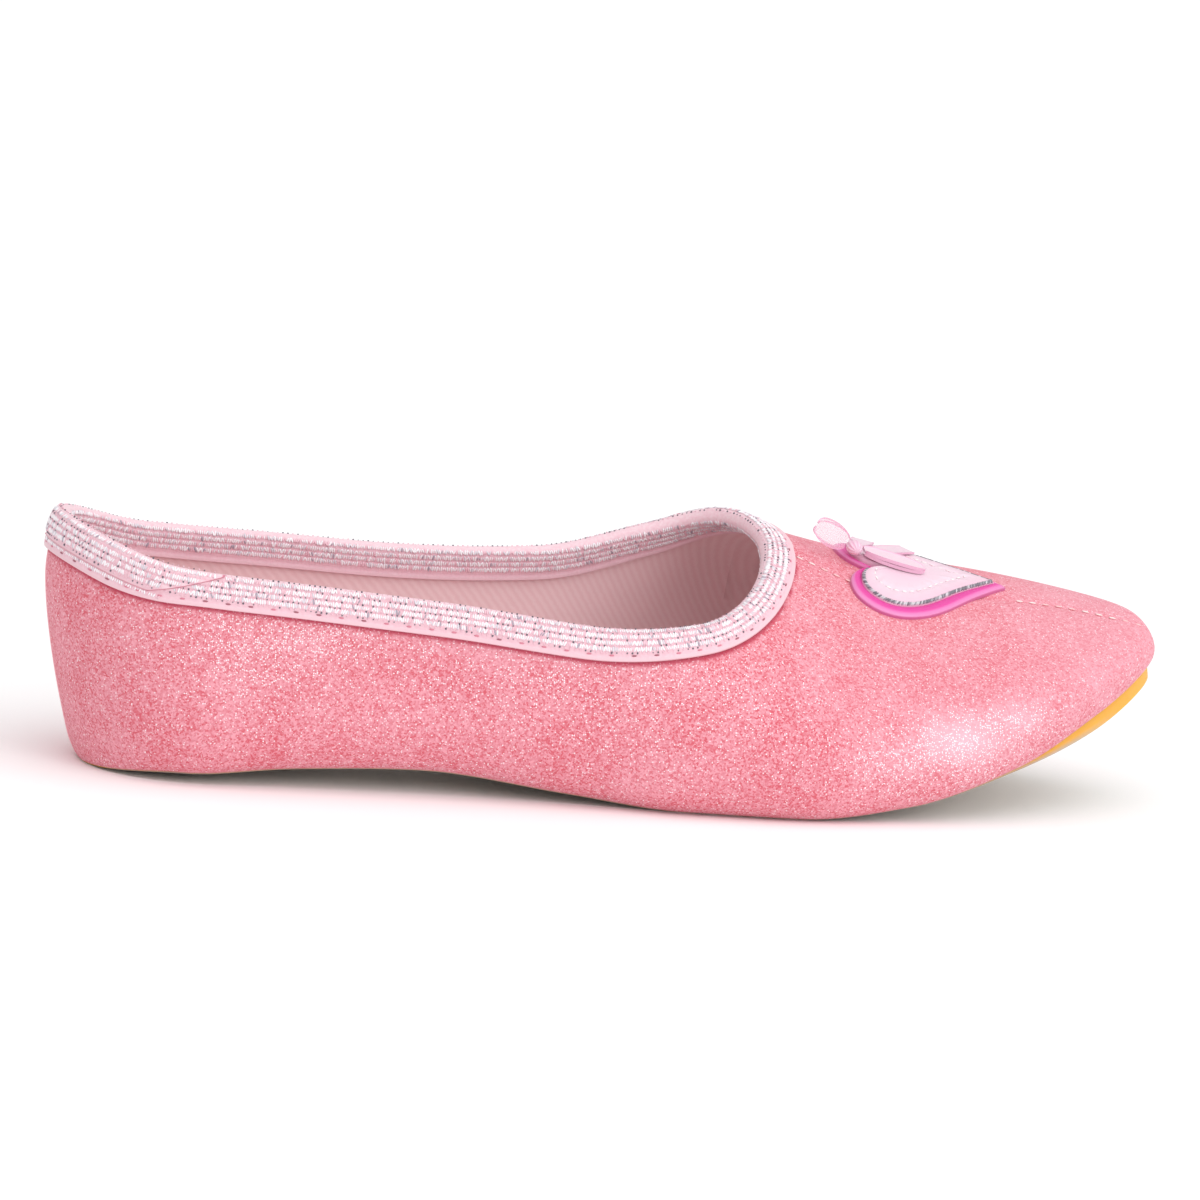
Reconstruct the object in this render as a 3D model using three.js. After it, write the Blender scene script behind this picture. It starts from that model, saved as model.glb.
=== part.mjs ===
// Soft ballet slipper for a right foot: velour upper, gum sole, elastic collar, heart and bow.
// Millimetres. X runs from heel to toe, Y to the inner side of the foot, Z up from the floor.
import * as THREE from "three";

// Driving sizes
const LENGTH = 200;
const WALL = 1.3;
const GAP = 0.3;
const HEEL_ROUND = 27;
const TOE_ROUND = 40;
const TOE_NOSE = 7;
const TOE_REACH = 30;
const TOE_TUCK = 0.6;
const LIP_RISE = 3;
const HEEL_SWAY = 7.1;
const HEEL_PLUMB = 33;
const HEEL_CURL = 0.02;
const HEEL_REACH = 70;
const HEEL_CORNER = 0.9;
const CORNER_RISE = 5;
const CROWN_POWER = 1.9;
const FLAT_SHARE = 1 / 3;
const INSOLE_THICK = 1.2;
const ELASTIC_THICK = 0.6;
const ELASTIC_WIDTH = 5;
const LAP_STEP = 0.35;
const LAP_END = 37.5;
const LAP_SLANT = 2.4;
const LAP_DROP = 1.3;

// Sections of the last, a row for each distance from the back of the heel.
// lateral, medial: half widths of the bulge. tuck: how far the sole's edge lies inside the bulge.
// bulge: height of the widest line over the sole's edge. rise: underside of the sole over the floor.
// edge: sole seen under the upper. cup, arch: extra rise of the sole's outer and inner edge.
// ridge: height of the centre line. lean: slope of the instep to the outer side.
// collar: height of the collar. swing: sideways place of the centre line.
const SECTIONS = [
  { at: 0, lateral: 23.5, medial: 23, tuck: 3.5, bulge: 11.4, rise: 0, edge: 0.25, cup: 0, arch: 0,
    ridge: 88, lean: 0, collar: 42.6, swing: 0 },
  { at: 20, lateral: 24.4, medial: 23.5, tuck: 5, bulge: 12.4, rise: 0, edge: 0.25, cup: 1.7, arch: 1.5,
    ridge: 87.5, lean: 0.02, collar: 37.3, swing: 0 },
  { at: 42, lateral: 24.8, medial: 23, tuck: 5.8, bulge: 12.4, rise: 2.6, edge: 0.25, cup: 0.7, arch: 2.4,
    ridge: 84, lean: 0.06, collar: 36, swing: 0 },
  { at: 64, lateral: 25.7, medial: 22.6, tuck: 6, bulge: 12.4, rise: 4.1, edge: 0.25, cup: 0, arch: 3,
    ridge: 76.3, lean: 0.1, collar: 34.8, swing: 0 },
  { at: 90, lateral: 29.5, medial: 24.5, tuck: 6.5, bulge: 12.4, rise: 1.6, edge: 0.25, cup: 0, arch: 2.2,
    ridge: 63.5, lean: 0.2, collar: 34, swing: 0.3 },
  { at: 110, lateral: 33.6, medial: 29.5, tuck: 6.5, bulge: 12.4, rise: 0, edge: 0.25, cup: 0, arch: 0.3,
    ridge: 52, lean: 0.27, collar: 37, swing: 0.6 },
  { at: 130, lateral: 35, medial: 33.5, tuck: 5.5, bulge: 12.6, rise: 0, edge: 0.25, cup: 0, arch: 0,
    ridge: 42.5, lean: 0.33, collar: 44.6, swing: 1 },
  { at: 150, lateral: 32, medial: 33, tuck: 4.2, bulge: 12, rise: 2.4, edge: 0.25, cup: 0, arch: 0,
    ridge: 38.2, lean: 0.33, collar: 48, swing: 1.6 },
  { at: 170, lateral: 27.6, medial: 28.6, tuck: 3, bulge: 11, rise: 8.7, edge: 0.7, cup: 0, arch: 0,
    ridge: 36.2, lean: 0.3, collar: 50, swing: 2.5 },
  { at: 186, lateral: 24, medial: 24.5, tuck: 2.4, bulge: 7.6, rise: 14.9, edge: 3.1, cup: 0, arch: 0,
    ridge: 34.6, lean: 0.28, collar: 51, swing: 3.3 },
  { at: 200, lateral: 21, medial: 21, tuck: 2.2, bulge: 3.5, rise: 22.6, edge: 3.8, cup: 0, arch: 0,
    ridge: 33.6, lean: 0.26, collar: 52, swing: 4 },
];

// Half outline of the larger heart, from its notch to its tip, measured from the notch.
const HEART = [
  { along: 0, across: 0 },
  { along: -3, across: 2.4 },
  { along: -4.2, across: 5.6 },
  { along: -3.6, across: 9.3 },
  { along: -0.8, across: 12.2 },
  { along: 3.2, across: 13.4 },
  { along: 8, across: 12.6 },
  { along: 13, across: 10 },
  { along: 19.5, across: 5 },
  { along: 26.5, across: 0 },
];
const HEART_NOTCH = 145.2;
const HEART_MIDDLE = 6;
const HEART_TURN = 0.04;
const PATCH_INSET = 2.4;
const PATCH_BASE = 1.1;

// Padding of both hearts, a row for each ring from the middle to the edge.
const HEART_RINGS = [
  { reach: 0.4, backing: 0.45, patch: 0.8 },
  { reach: 0.72, backing: 0.45, patch: 0.8 },
  { reach: 0.9, backing: 0.8, patch: 0.7 },
  { reach: 1, backing: 0.6, patch: 0.4 },
];

// Ribbon of the bow, measured from the knot's middle: toe-ward, across and up.
// turn: how far a loop is rolled about its own length, so that its broad side faces out.
// neck: how far its two legs stand apart at the knot; square: below 1 its legs run level.
const RIBBON_THICK = 0.3;
const LOOP_WAIST = 0.14;
const LOOP_ROUND = 0.75;
const KNOT = { along: -2.4, across: 2.8, up: 2.9, length: 1.4, width: 2, height: 1.2 };
const LOOPS = {
  bow_loop_heel: {
    reach: -9, start: 1.75, width: 4.3, swell: 0.85, neck: 0.35, square: 1,
    climb: 0.28, heading: 0, turn: 1.6,
  },
  bow_loop_toe: {
    reach: 13, start: 1.75, width: 4.2, swell: 0.5, neck: 0.9, square: 0.5,
    climb: -0.02, heading: -0.26, turn: 0,
  },
};
const TAILS = {
  bow_tail_outer: { heading: 0.44, start: 3.9, reach: 13.5, width: 4, up: 2.25 },
  bow_tail_inner: { heading: 1.05, start: 3.5, reach: 9, width: 4, up: 2.25 },
};

// Mesh counts
const HEEL_STATIONS = 11;
const BODY_STATIONS = 19;
const TOE_STATIONS = 12;
const WALL_ROWS = 12;
const SOLE_COLUMNS = 6;
const LOOP_POINTS = 84;
const HEART_POINTS = 40;
const LINE_STEPS = 48;

// Value of one column of a table, carried smoothly between its rows
function pick(rows, column, at) {
  const last = rows.length - 2;
  const slope = rows.slice(1).map((row, i) => (row[column] - rows[i][column]) / (row.at - rows[i].at));
  const bend = (i) => {
    if (i === 0 || i > last) return slope[Math.min(i, last)];
    const product = slope[i - 1] * slope[i];
    return product <= 0 ? 0 : (2 * product) / (slope[i - 1] + slope[i]);
  };
  let i = 0;
  while (i < last && at > rows[i + 1].at) i += 1;
  const span = rows[i + 1].at - rows[i].at;
  const t = THREE.MathUtils.clamp((at - rows[i].at) / span, 0, 1);
  const rest = t * t * (3 - 2 * t);
  const start = bend(i) * span * t * (1 - t) * (1 - t);
  const end = bend(i + 1) * span * t * t * (t - 1);
  return rows[i][column] * (1 - rest) + rows[i + 1][column] * rest + start + end;
}

// All sizes of the last at one distance from the heel
function sizes(at) {
  const size = {};
  for (const column of Object.keys(SECTIONS[0])) size[column] = pick(SECTIONS, column, at);
  const heel = Math.max(0, 1 - at / HEEL_ROUND);
  const toe = Math.max(0, 1 - (LENGTH - at) / TOE_ROUND);
  size.closing = Math.sqrt(Math.max(0, 1 - heel * heel)) * Math.sqrt(Math.max(0, 1 - toe * toe));
  return size;
}

// Forward shift of a point low on the heel, and backward shift of a point high on the toe
function profileShift(at, height, foot, share) {
  const heelFade = Math.max(0, 1 - at / HEEL_REACH) ** 2;
  const toeFade = Math.max(0, 1 - (LENGTH - at) / TOE_REACH) ** 2;
  const low = Math.max(0, 1 - height / HEEL_PLUMB);
  const high = Math.min(12, Math.max(0, height - HEEL_PLUMB));
  const corner = THREE.MathUtils.clamp(1 - height / CORNER_RISE, 0, 1);
  const sway = HEEL_SWAY * low ** 1.5 + HEEL_CURL * high * high;
  const round = HEEL_CORNER * (1 - Math.sqrt(1 - corner * corner));
  const nose = TOE_NOSE * (1 - Math.sqrt(1 - Math.min(1, share) ** 2));
  const lip = THREE.MathUtils.clamp(1 - (height - foot) / LIP_RISE, 0, 1);
  const tuck = TOE_TUCK * (1 - Math.sqrt(1 - lip * lip));
  return (sway + round) * heelFade - (nose + tuck) * toeFade;
}

// One side of one section, from the sole's edge up to the centre line, with its lengths and heights
function sectionLine(at, side) {
  const size = sizes(at);
  const half = side < 0 ? size.lateral : size.medial;
  const foot = size.rise + size.edge + (side < 0 ? size.cup : size.arch);
  const tall = size.ridge - foot;
  const line = { points: [], heights: [], lengths: [0] };
  const add = (across, height) => {
    const share = (height - foot) / tall;
    const y = side * across * size.closing;
    const x = at - LENGTH / 2 + profileShift(at, height, foot, share);
    const point = new THREE.Vector3(x, size.swing + y, height + size.lean * y * share);
    const before = line.points[line.points.length - 1];
    if (before) line.lengths.push(line.lengths[line.lengths.length - 1] + before.distanceTo(point));
    line.points.push(point);
    line.heights.push(height);
  };
  for (let i = 0; i < LINE_STEPS / 4; i += 1) {
    const turn = (i / (LINE_STEPS / 4)) * (Math.PI / 2);
    add(half - size.tuck * (1 - Math.sin(turn)), foot + size.bulge * (1 - Math.cos(turn)));
  }
  for (let i = 0; i <= LINE_STEPS; i += 1) {
    const turn = (i / LINE_STEPS) * (Math.PI / 2);
    const across = half * Math.max(0, Math.cos(turn)) ** (2 / CROWN_POWER);
    add(across, foot + size.bulge + (tall - size.bulge) * Math.sin(turn) ** (2 / CROWN_POWER));
  }
  return line;
}

// Point of a section line at a length along it
function alongLine(line, length) {
  let i = 0;
  while (i < line.lengths.length - 2 && length > line.lengths[i + 1]) i += 1;
  const span = line.lengths[i + 1] - line.lengths[i];
  const t = THREE.MathUtils.clamp((length - line.lengths[i]) / span, 0, 1);
  return line.points[i].clone().lerp(line.points[i + 1], t);
}

// Length along a section line at which it meets the collar, or its whole length ahead of the throat
function edgeLength(line, collar) {
  const last = line.lengths.length - 1;
  for (let i = 0; i < last; i += 1) {
    if (line.heights[i + 1] < collar) continue;
    const t = (collar - line.heights[i]) / (line.heights[i + 1] - line.heights[i]);
    return THREE.MathUtils.lerp(line.lengths[i], line.lengths[i + 1], t);
  }
  return line.lengths[last];
}

// Distance from the heel at which the collar crosses the centre line
function throatFront() {
  let near = LENGTH / 2;
  let far = LENGTH * 0.75;
  for (let i = 0; i < 40; i += 1) {
    const middle = (near + far) / 2;
    const size = sizes(middle);
    if (size.collar < size.ridge) near = middle;
    else far = middle;
  }
  return far;
}

// Distances of the sections, closer together at the heel, the throat and the toe
function stations() {
  const throat = throatFront();
  const list = [];
  for (let i = 0; i < HEEL_STATIONS; i += 1) list.push(HEEL_ROUND * 1.2 * (i / HEEL_STATIONS) ** 2);
  const first = HEEL_ROUND * 1.2;
  for (let i = 0; i < BODY_STATIONS; i += 1) {
    const t = i / BODY_STATIONS;
    list.push(first + (throat - first) * (1 - (1 - t) ** 2.1));
  }
  for (let i = 0; i <= TOE_STATIONS; i += 1) {
    const t = 1 - i / TOE_STATIONS;
    list.push(LENGTH - (LENGTH - throat) * t ** 1.8);
  }
  return list;
}

// Skin of triangles from grids of points, with equal points made one
function weld(grids, closedRows = false) {
  const skin = { points: [], faces: [] };
  const seen = new Map();
  const index = (point) => {
    const key = point.toArray().map((value) => Math.round(value * 2000)).join();
    if (!seen.has(key)) {
      seen.set(key, skin.points.length);
      skin.points.push(point);
    }
    return seen.get(key);
  };
  const face = (a, b, c) => {
    if (a !== b && b !== c && c !== a) skin.faces.push([a, b, c]);
  };
  for (const grid of grids) {
    const cells = grid.map((row) => row.map(index));
    const count = closedRows ? cells.length : cells.length - 1;
    for (let i = 0; i < count; i += 1) {
      const here = cells[i];
      const next = cells[(i + 1) % cells.length];
      for (let j = 0; j + 1 < here.length; j += 1) {
        face(here[j], next[j], next[j + 1]);
        face(here[j], next[j + 1], here[j + 1]);
      }
    }
  }
  return skin;
}

// Outward direction at each point of a skin
function directions(skin) {
  const sums = skin.points.map(() => new THREE.Vector3());
  for (const [a, b, c] of skin.faces) {
    const [p, q, r] = [a, b, c].map((i) => skin.points[i]);
    const normal = q.clone().sub(p).cross(r.clone().sub(p));
    for (const i of [a, b, c]) sums[i].add(normal);
  }
  return sums.map((sum) => sum.normalize());
}

// Copy of a skin moved outward by a distance for each point, straight down at its fixed points
function offset(skin, distance, fixed = new Set()) {
  const down = new THREE.Vector3(0, 0, -1);
  const out = directions(skin).map((way, i) => (fixed.has(skin.points[i]) ? down : way));
  const moved = skin.points.map((point, i) => point.clone().addScaledVector(out[i], distance(i)));
  return { points: moved, faces: skin.faces };
}

// Closed body between two skins of the same layout, the second lying outside the first
function between(inner, outer) {
  const count = outer.points.length;
  const faces = outer.faces.map((face) => [...face]);
  const edges = new Set();
  for (const [a, b, c] of outer.faces) {
    faces.push([c + count, b + count, a + count]);
    for (const [from, to] of [[a, b], [b, c], [c, a]]) edges.add(from * count * 2 + to);
  }
  for (const edge of edges) {
    const from = Math.floor(edge / (count * 2));
    const to = edge % (count * 2);
    if (edges.has(to * count * 2 + from)) continue;
    faces.push([to, from, from + count], [to, from + count, to + count]);
  }
  return { points: [...outer.points, ...inner.points], faces };
}

// Mesh of a closed skin, named and coloured
function mesh(name, skin, colour, roughness) {
  const geometry = new THREE.BufferGeometry();
  const values = skin.points.flatMap((point) => point.toArray());
  geometry.setAttribute("position", new THREE.Float32BufferAttribute(values, 3));
  geometry.setIndex(skin.faces.flat());
  geometry.computeVertexNormals();
  const material = new THREE.MeshStandardMaterial({ color: colour, roughness, metalness: 0 });
  const piece = new THREE.Mesh(geometry, material);
  piece.name = name;
  return piece;
}

// Outer skin of the upper, its lower edge, and its collar from the heel around the outer side
function upperSkin() {
  const grids = [];
  const edges = {};
  const feather = new Set();
  const throat = throatFront();
  for (const side of [-1, 1]) {
    edges[side] = [];
    const grid = stations().map((at) => {
      const line = sectionLine(at, side);
      const top = edgeLength(line, at < throat ? sizes(at).collar : Infinity);
      const row = [];
      for (let j = 0; j <= WALL_ROWS; j += 1) row.push(alongLine(line, top * (j / WALL_ROWS) ** 1.25));
      feather.add(row[0]);
      if (at <= throat) edges[side].push(row[WALL_ROWS]);
      return row;
    });
    grids.push(side < 0 ? grid : grid.reverse());
  }
  const back = edges[1].slice(1, -1).reverse();
  return { skin: weld(grids), feather, collar: [...edges[-1], ...back] };
}

// Nearest point of a skin to a place, with the outward direction there
function draper(skin) {
  const out = directions(skin);
  const triangle = new THREE.Triangle();
  const found = new THREE.Vector3();
  const weights = new THREE.Vector3();
  return (place) => {
    let best = Infinity;
    let point = null;
    let face = null;
    for (const [a, b, c] of skin.faces) {
      triangle.set(skin.points[a], skin.points[b], skin.points[c]);
      triangle.closestPointToPoint(place, found);
      const distance = found.distanceToSquared(place);
      if (distance >= best) continue;
      best = distance;
      point = found.clone();
      face = [a, b, c];
    }
    const corners = face.map((i) => skin.points[i]);
    THREE.Triangle.getBarycoord(point, ...corners, weights);
    const normal = new THREE.Vector3();
    face.forEach((i, k) => normal.addScaledVector(out[i], weights.getComponent(k)));
    return { point, normal: normal.normalize() };
  };
}

// Layer of the sole at a share of its width, held inside the upper's lower edge
function bottomSkin(inset, height) {
  const squeeze = (LENGTH - 2 * inset) / LENGTH;
  const grid = stations().map((at) => {
    const size = sizes(at);
    const foot = size.rise + size.edge;
    const x = inset + at * squeeze - LENGTH / 2 + profileShift(at, foot, foot, 0);
    const row = [];
    for (let j = SOLE_COLUMNS; j >= 0; j -= 1) {
      const share = 1 - (2 * j) / SOLE_COLUMNS;
      const half = (share < 0 ? size.lateral : size.medial) - size.tuck - inset;
      const curl = Math.max(0, (Math.abs(share) - FLAT_SHARE) / (1 - FLAT_SHARE)) ** 2;
      const lift = curl * (share < 0 ? size.cup : size.arch);
      const y = size.swing + share * half * size.closing;
      row.push(new THREE.Vector3(x, y, size.rise + lift + height(size)));
    }
    return row;
  });
  return weld([grid]);
}

// Sole filling the upper's open underside, its edge sloping in under the upper
function outsole() {
  const low = bottomSkin(GAP, () => 0);
  const high = bottomSkin(WALL, (size) => size.edge + WALL);
  return mesh("outsole", between(low, high), 0xf2b13f, 0.55);
}

// Sock on top of the sole
function insole() {
  const inset = WALL + GAP;
  const low = bottomSkin(inset, (size) => size.edge + WALL + GAP);
  const high = bottomSkin(inset, (size) => size.edge + WALL + GAP + INSOLE_THICK);
  return mesh("insole", between(low, high), 0xf3d9d6, 0.9);
}

// Folded elastic over the collar, with the step of its lapped ends at the outer heel
function collarElastic(collar, drape) {
  const curve = new THREE.CatmullRomCurve3(collar, true);
  const around = curve.getLength();
  const shell = GAP + ELASTIC_THICK;
  const rows = [];
  for (let i = 0; i < LOOP_POINTS; i += 1) {
    const edge = curve.getPointAt(i / LOOP_POINTS);
    const tangent = curve.getTangentAt(i / LOOP_POINTS);
    const normal = drape(edge).normal;
    const down = tangent.clone().cross(normal).normalize();
    const gone = (around * i) / LOOP_POINTS;
    const spot = (depth, out) => {
      if (depth < 0) return edge.clone().addScaledVector(down, depth).addScaledVector(normal, out);
      const on = drape(edge.clone().addScaledVector(down, depth));
      return on.point.addScaledVector(on.normal, out);
    };
    const lap = (depth) => LAP_STEP * THREE.MathUtils.smoothstep(LAP_END - LAP_SLANT * depth - gone, 0, 4);
    const drop = LAP_DROP * THREE.MathUtils.smoothstep(LAP_END - gone, 0, LAP_END / 2);
    const width = ELASTIC_WIDTH + drop;
    const depths = [width, width * 0.55, 0.6];
    const row = [];
    for (const depth of depths) row.push(spot(depth, shell + lap(depth)));
    row.push(spot(-shell, 0.1), spot(-shell, -WALL - 0.1));
    for (const depth of [...depths].reverse()) row.push(spot(depth, -WALL - shell));
    for (const depth of depths.slice(0, 2)) row.push(spot(depth, -WALL - GAP));
    row.push(spot(-GAP, -WALL - GAP), spot(-GAP, GAP));
    for (const depth of depths.slice(0, 2).reverse()) row.push(spot(depth, GAP));
    row.push(row[0]);
    rows.push(row);
  }
  return mesh("collar_elastic", weld([rows], true), 0xf6bccb, 0.7);
}

// Frame on the vamp: place of a spot measured toe-ward and across from the heart's notch
function vampFrame(drape) {
  const start = alongLine(sectionLine(HEART_NOTCH, -1), Infinity);
  const end = alongLine(sectionLine(HEART_NOTCH + 25, -1), Infinity);
  const up = drape(start.clone().lerp(end, 0.3)).normal;
  const along = end.clone().sub(start).normalize().applyAxisAngle(up, HEART_TURN);
  const across = up.clone().cross(along).normalize();
  return (a, c) => drape(start.clone().addScaledVector(along, a).addScaledVector(across, c));
}

// Heart outline drawn in by an inset, as rings about its middle
function heartRings(inset) {
  const half = HEART.map((row) => new THREE.Vector2(row.along, row.across));
  const other = half.slice(1, -1).reverse().map((spot) => new THREE.Vector2(spot.x, -spot.y));
  const nearSide = new THREE.SplineCurve(half).getSpacedPoints(HEART_POINTS / 2);
  const otherSide = new THREE.SplineCurve([half[half.length - 1], ...other, half[0]]);
  const outline = [...nearSide, ...otherSide.getSpacedPoints(HEART_POINTS / 2).slice(1, -1)];
  const middle = new THREE.Vector2(HEART_MIDDLE, 0);
  return outline.map((spot) => {
    const ray = spot.clone().sub(middle);
    return ray.setLength(ray.length() - inset);
  });
}

// Heart laid on the vamp, raised by a padding for each ring
function heart(name, frame, inset, base, column, colour) {
  const rays = heartRings(inset);
  const rows = [...rays, rays[0]].map((ray) => [0, ...HEART_RINGS.map((ring) => ring.reach)]
    .map((reach) => frame(HEART_MIDDLE + ray.x * reach, ray.y * reach).point));
  const skin = weld([rows]);
  const rings = new Map();
  rows.forEach((row) => row.forEach((point, k) => rings.set(point, HEART_RINGS[Math.max(0, k - 1)])));
  const low = offset(skin, () => base);
  const high = offset(skin, (i) => base + rings.get(skin.points[i])[column]);
  return mesh(name, between(low, high), colour, 0.45);
}

// Ribbon along a path, its width and its sideways direction given at each step
function ribbon(name, steps, colour) {
  const rows = steps.map((step) => [-0.5, -0.17, 0.17, 0.5].map((share) => {
    return step.point.clone().addScaledVector(step.side, share * step.width);
  }));
  const skin = weld([rows]);
  const low = offset(skin, () => -RIBBON_THICK / 2);
  const high = offset(skin, () => RIBBON_THICK / 2);
  return mesh(name, between(low, high), colour, 0.5);
}

// Bow with its knot, loops and tails, standing on the smaller heart
function bow(frame) {
  const root = frame(KNOT.along, KNOT.across);
  const ahead = frame(KNOT.along + 6, KNOT.across).point.sub(root.point).normalize();
  const up = root.normal;
  const side = up.clone().cross(ahead).normalize();
  const middle = root.point.clone().addScaledVector(up, KNOT.up);
  const ball = new THREE.SphereGeometry(1, 14, 9);
  const turn = new THREE.Matrix4().makeBasis(ahead, side, up);
  ball.scale(KNOT.length, KNOT.width, KNOT.height).applyMatrix4(turn.setPosition(middle));
  const position = ball.getAttribute("position");
  const grid = [];
  for (let i = 0; i <= 9; i += 1) {
    const row = [];
    for (let j = 0; j <= 14; j += 1) row.push(new THREE.Vector3().fromBufferAttribute(position, i * 15 + j));
    grid.push(row);
  }
  const pieces = [mesh("bow_knot", weld([grid]), 0xf7b3cf, 0.5)];
  for (const [name, loop] of Object.entries(LOOPS)) {
    const steps = [];
    const way = Math.sign(loop.reach);
    const lifted = up.clone().multiplyScalar(Math.cos(loop.climb));
    lifted.addScaledVector(ahead, -way * Math.sin(loop.climb));
    const rolled = side.clone().multiplyScalar(Math.cos(loop.turn));
    rolled.addScaledVector(lifted, -Math.sin(loop.turn));
    for (let i = 0; i <= 20; i += 1) {
      const round = THREE.MathUtils.lerp(0.25, Math.PI * 2 - 0.25, i / 20);
      const far = loop.start + (Math.abs(loop.reach) - loop.start) * (1 - Math.cos(round)) / 2;
      const bulge = Math.sign(Math.sin(round)) * Math.abs(Math.sin(round)) ** loop.square;
      const swell = loop.swell * bulge * THREE.MathUtils.lerp(loop.neck, 1, Math.sin(round / 2));
      const upward = swell * Math.cos(loop.turn);
      const aside = swell * Math.sin(loop.turn);
      const out = way * (far * Math.cos(loop.climb) - upward * Math.sin(loop.climb));
      const rise = far * Math.sin(loop.climb) + upward * Math.cos(loop.climb);
      const a = KNOT.along + out * Math.cos(loop.heading) - aside * Math.sin(loop.heading);
      const c = KNOT.across + out * Math.sin(loop.heading) + aside * Math.cos(loop.heading);
      const on = frame(a, c);
      const point = on.point.addScaledVector(on.normal, KNOT.up + rise);
      const width = loop.width * (LOOP_WAIST + (1 - LOOP_WAIST) * Math.abs(Math.sin(round)) ** LOOP_ROUND);
      steps.push({ point, side: rolled, width });
    }
    pieces.push(ribbon(name, steps, 0xfac6da));
  }
  for (const [name, tail] of Object.entries(TAILS)) {
    const steps = [];
    for (let i = 0; i <= 8; i += 1) {
      const far = THREE.MathUtils.lerp(tail.start, tail.reach, i / 8);
      const spot = [KNOT.along + far * Math.cos(tail.heading), KNOT.across + far * Math.sin(tail.heading)];
      const on = frame(...spot);
      const point = on.point.clone().addScaledVector(on.normal, tail.up);
      const aside = ahead.clone().applyAxisAngle(up, tail.heading + Math.PI / 2);
      aside.addScaledVector(on.normal, -aside.dot(on.normal)).normalize();
      const width = tail.width * THREE.MathUtils.lerp(0.4, 1, Math.min(1, i / 4));
      steps.push({ point, side: aside, width });
    }
    pieces.push(ribbon(name, steps, 0xfac6da));
  }
  return pieces;
}

// The whole shoe
const group = new THREE.Group();
group.name = "ballet_slipper";
const { skin, feather, collar } = upperSkin();
const drape = draper(skin);
const frame = vampFrame(drape);
group.add(mesh("upper", between(offset(skin, () => -WALL, feather), skin), 0xf0808c, 0.85));
group.add(outsole(), insole(), collarElastic(collar, drape));
group.add(heart("heart_backing", frame, 0, GAP, "backing", 0xee4fb0));
group.add(heart("heart_patch", frame, PATCH_INSET, PATCH_BASE, "patch", 0xfad2e2));
group.add(...bow(frame));

// Origin under the middle of the shoe, on the floor
const box = new THREE.Box3().setFromObject(group);
const middle = box.getCenter(new THREE.Vector3());
for (const piece of group.children) piece.geometry.translate(-middle.x, -middle.y, -box.min.z);

export default group;
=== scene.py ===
import math

import bpy
import numpy as np
from mathutils import Matrix, Vector
from mathutils.bvhtree import BVHTree


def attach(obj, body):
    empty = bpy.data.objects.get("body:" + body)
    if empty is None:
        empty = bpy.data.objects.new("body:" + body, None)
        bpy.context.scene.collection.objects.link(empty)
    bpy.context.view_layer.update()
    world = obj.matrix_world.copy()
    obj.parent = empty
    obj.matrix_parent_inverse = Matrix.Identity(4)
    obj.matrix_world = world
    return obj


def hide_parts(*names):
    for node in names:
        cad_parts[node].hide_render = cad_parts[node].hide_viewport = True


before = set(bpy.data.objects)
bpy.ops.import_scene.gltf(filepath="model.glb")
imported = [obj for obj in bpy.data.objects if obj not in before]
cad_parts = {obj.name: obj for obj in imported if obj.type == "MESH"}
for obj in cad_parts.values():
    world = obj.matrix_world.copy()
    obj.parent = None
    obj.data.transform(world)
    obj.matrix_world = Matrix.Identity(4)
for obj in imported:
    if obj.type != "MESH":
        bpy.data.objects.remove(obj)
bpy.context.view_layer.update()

mm = 0.001
print("frame loaded")

# The last of the slipper, in millimetres: x from the back of the heel, y to the inner side of the foot
last = {
    "length": 200,
    "wall": 1.3,
    "gap": 0.3,
    "heelRound": 27,
    "toeRound": 40,
    "toeNose": 7,
    "toeReach": 30,
    "toeTuck": 0.6,
    "lipRise": 3,
    "heelSway": 7.1,
    "heelPlumb": 33,
    "heelCurl": 0.02,
    "heelReach": 70,
    "heelCorner": 0.9,
    "cornerRise": 5,
    "crownPower": 1.9,
    "flatShare": 1 / 3,
}
columns = (
    "at", "lateral", "medial", "tuck", "bulge", "rise", "edge", "cup", "arch", "ridge", "lean", "collar",
    "swing",
)
sections = np.array([
    (0, 23.5, 23, 3.5, 11.4, 0, 0.25, 0, 0, 88, 0, 42.6, 0),
    (20, 24.4, 23.5, 5, 12.4, 0, 0.25, 1.7, 1.5, 87.5, 0.02, 37.3, 0),
    (42, 24.8, 23, 5.8, 12.4, 2.6, 0.25, 0.7, 2.4, 84, 0.06, 36, 0),
    (64, 25.7, 22.6, 6, 12.4, 4.1, 0.25, 0, 3, 76.3, 0.1, 34.8, 0),
    (90, 29.5, 24.5, 6.5, 12.4, 1.6, 0.25, 0, 2.2, 63.5, 0.2, 34, 0.3),
    (110, 33.6, 29.5, 6.5, 12.4, 0, 0.25, 0, 0.3, 52, 0.27, 37, 0.6),
    (130, 35, 33.5, 5.5, 12.6, 0, 0.25, 0, 0, 42.5, 0.33, 44.6, 1),
    (150, 32, 33, 4.2, 12, 2.4, 0.25, 0, 0, 38.2, 0.33, 48, 1.6),
    (170, 27.6, 28.6, 3, 11, 8.7, 0.7, 0, 0, 36.2, 0.3, 50, 2.5),
    (186, 24, 24.5, 2.4, 7.6, 14.9, 3.1, 0, 0, 34.6, 0.28, 51, 3.3),
    (200, 21, 21, 2.2, 3.5, 22.6, 3.8, 0, 0, 33.6, 0.26, 52, 4),
])


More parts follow.
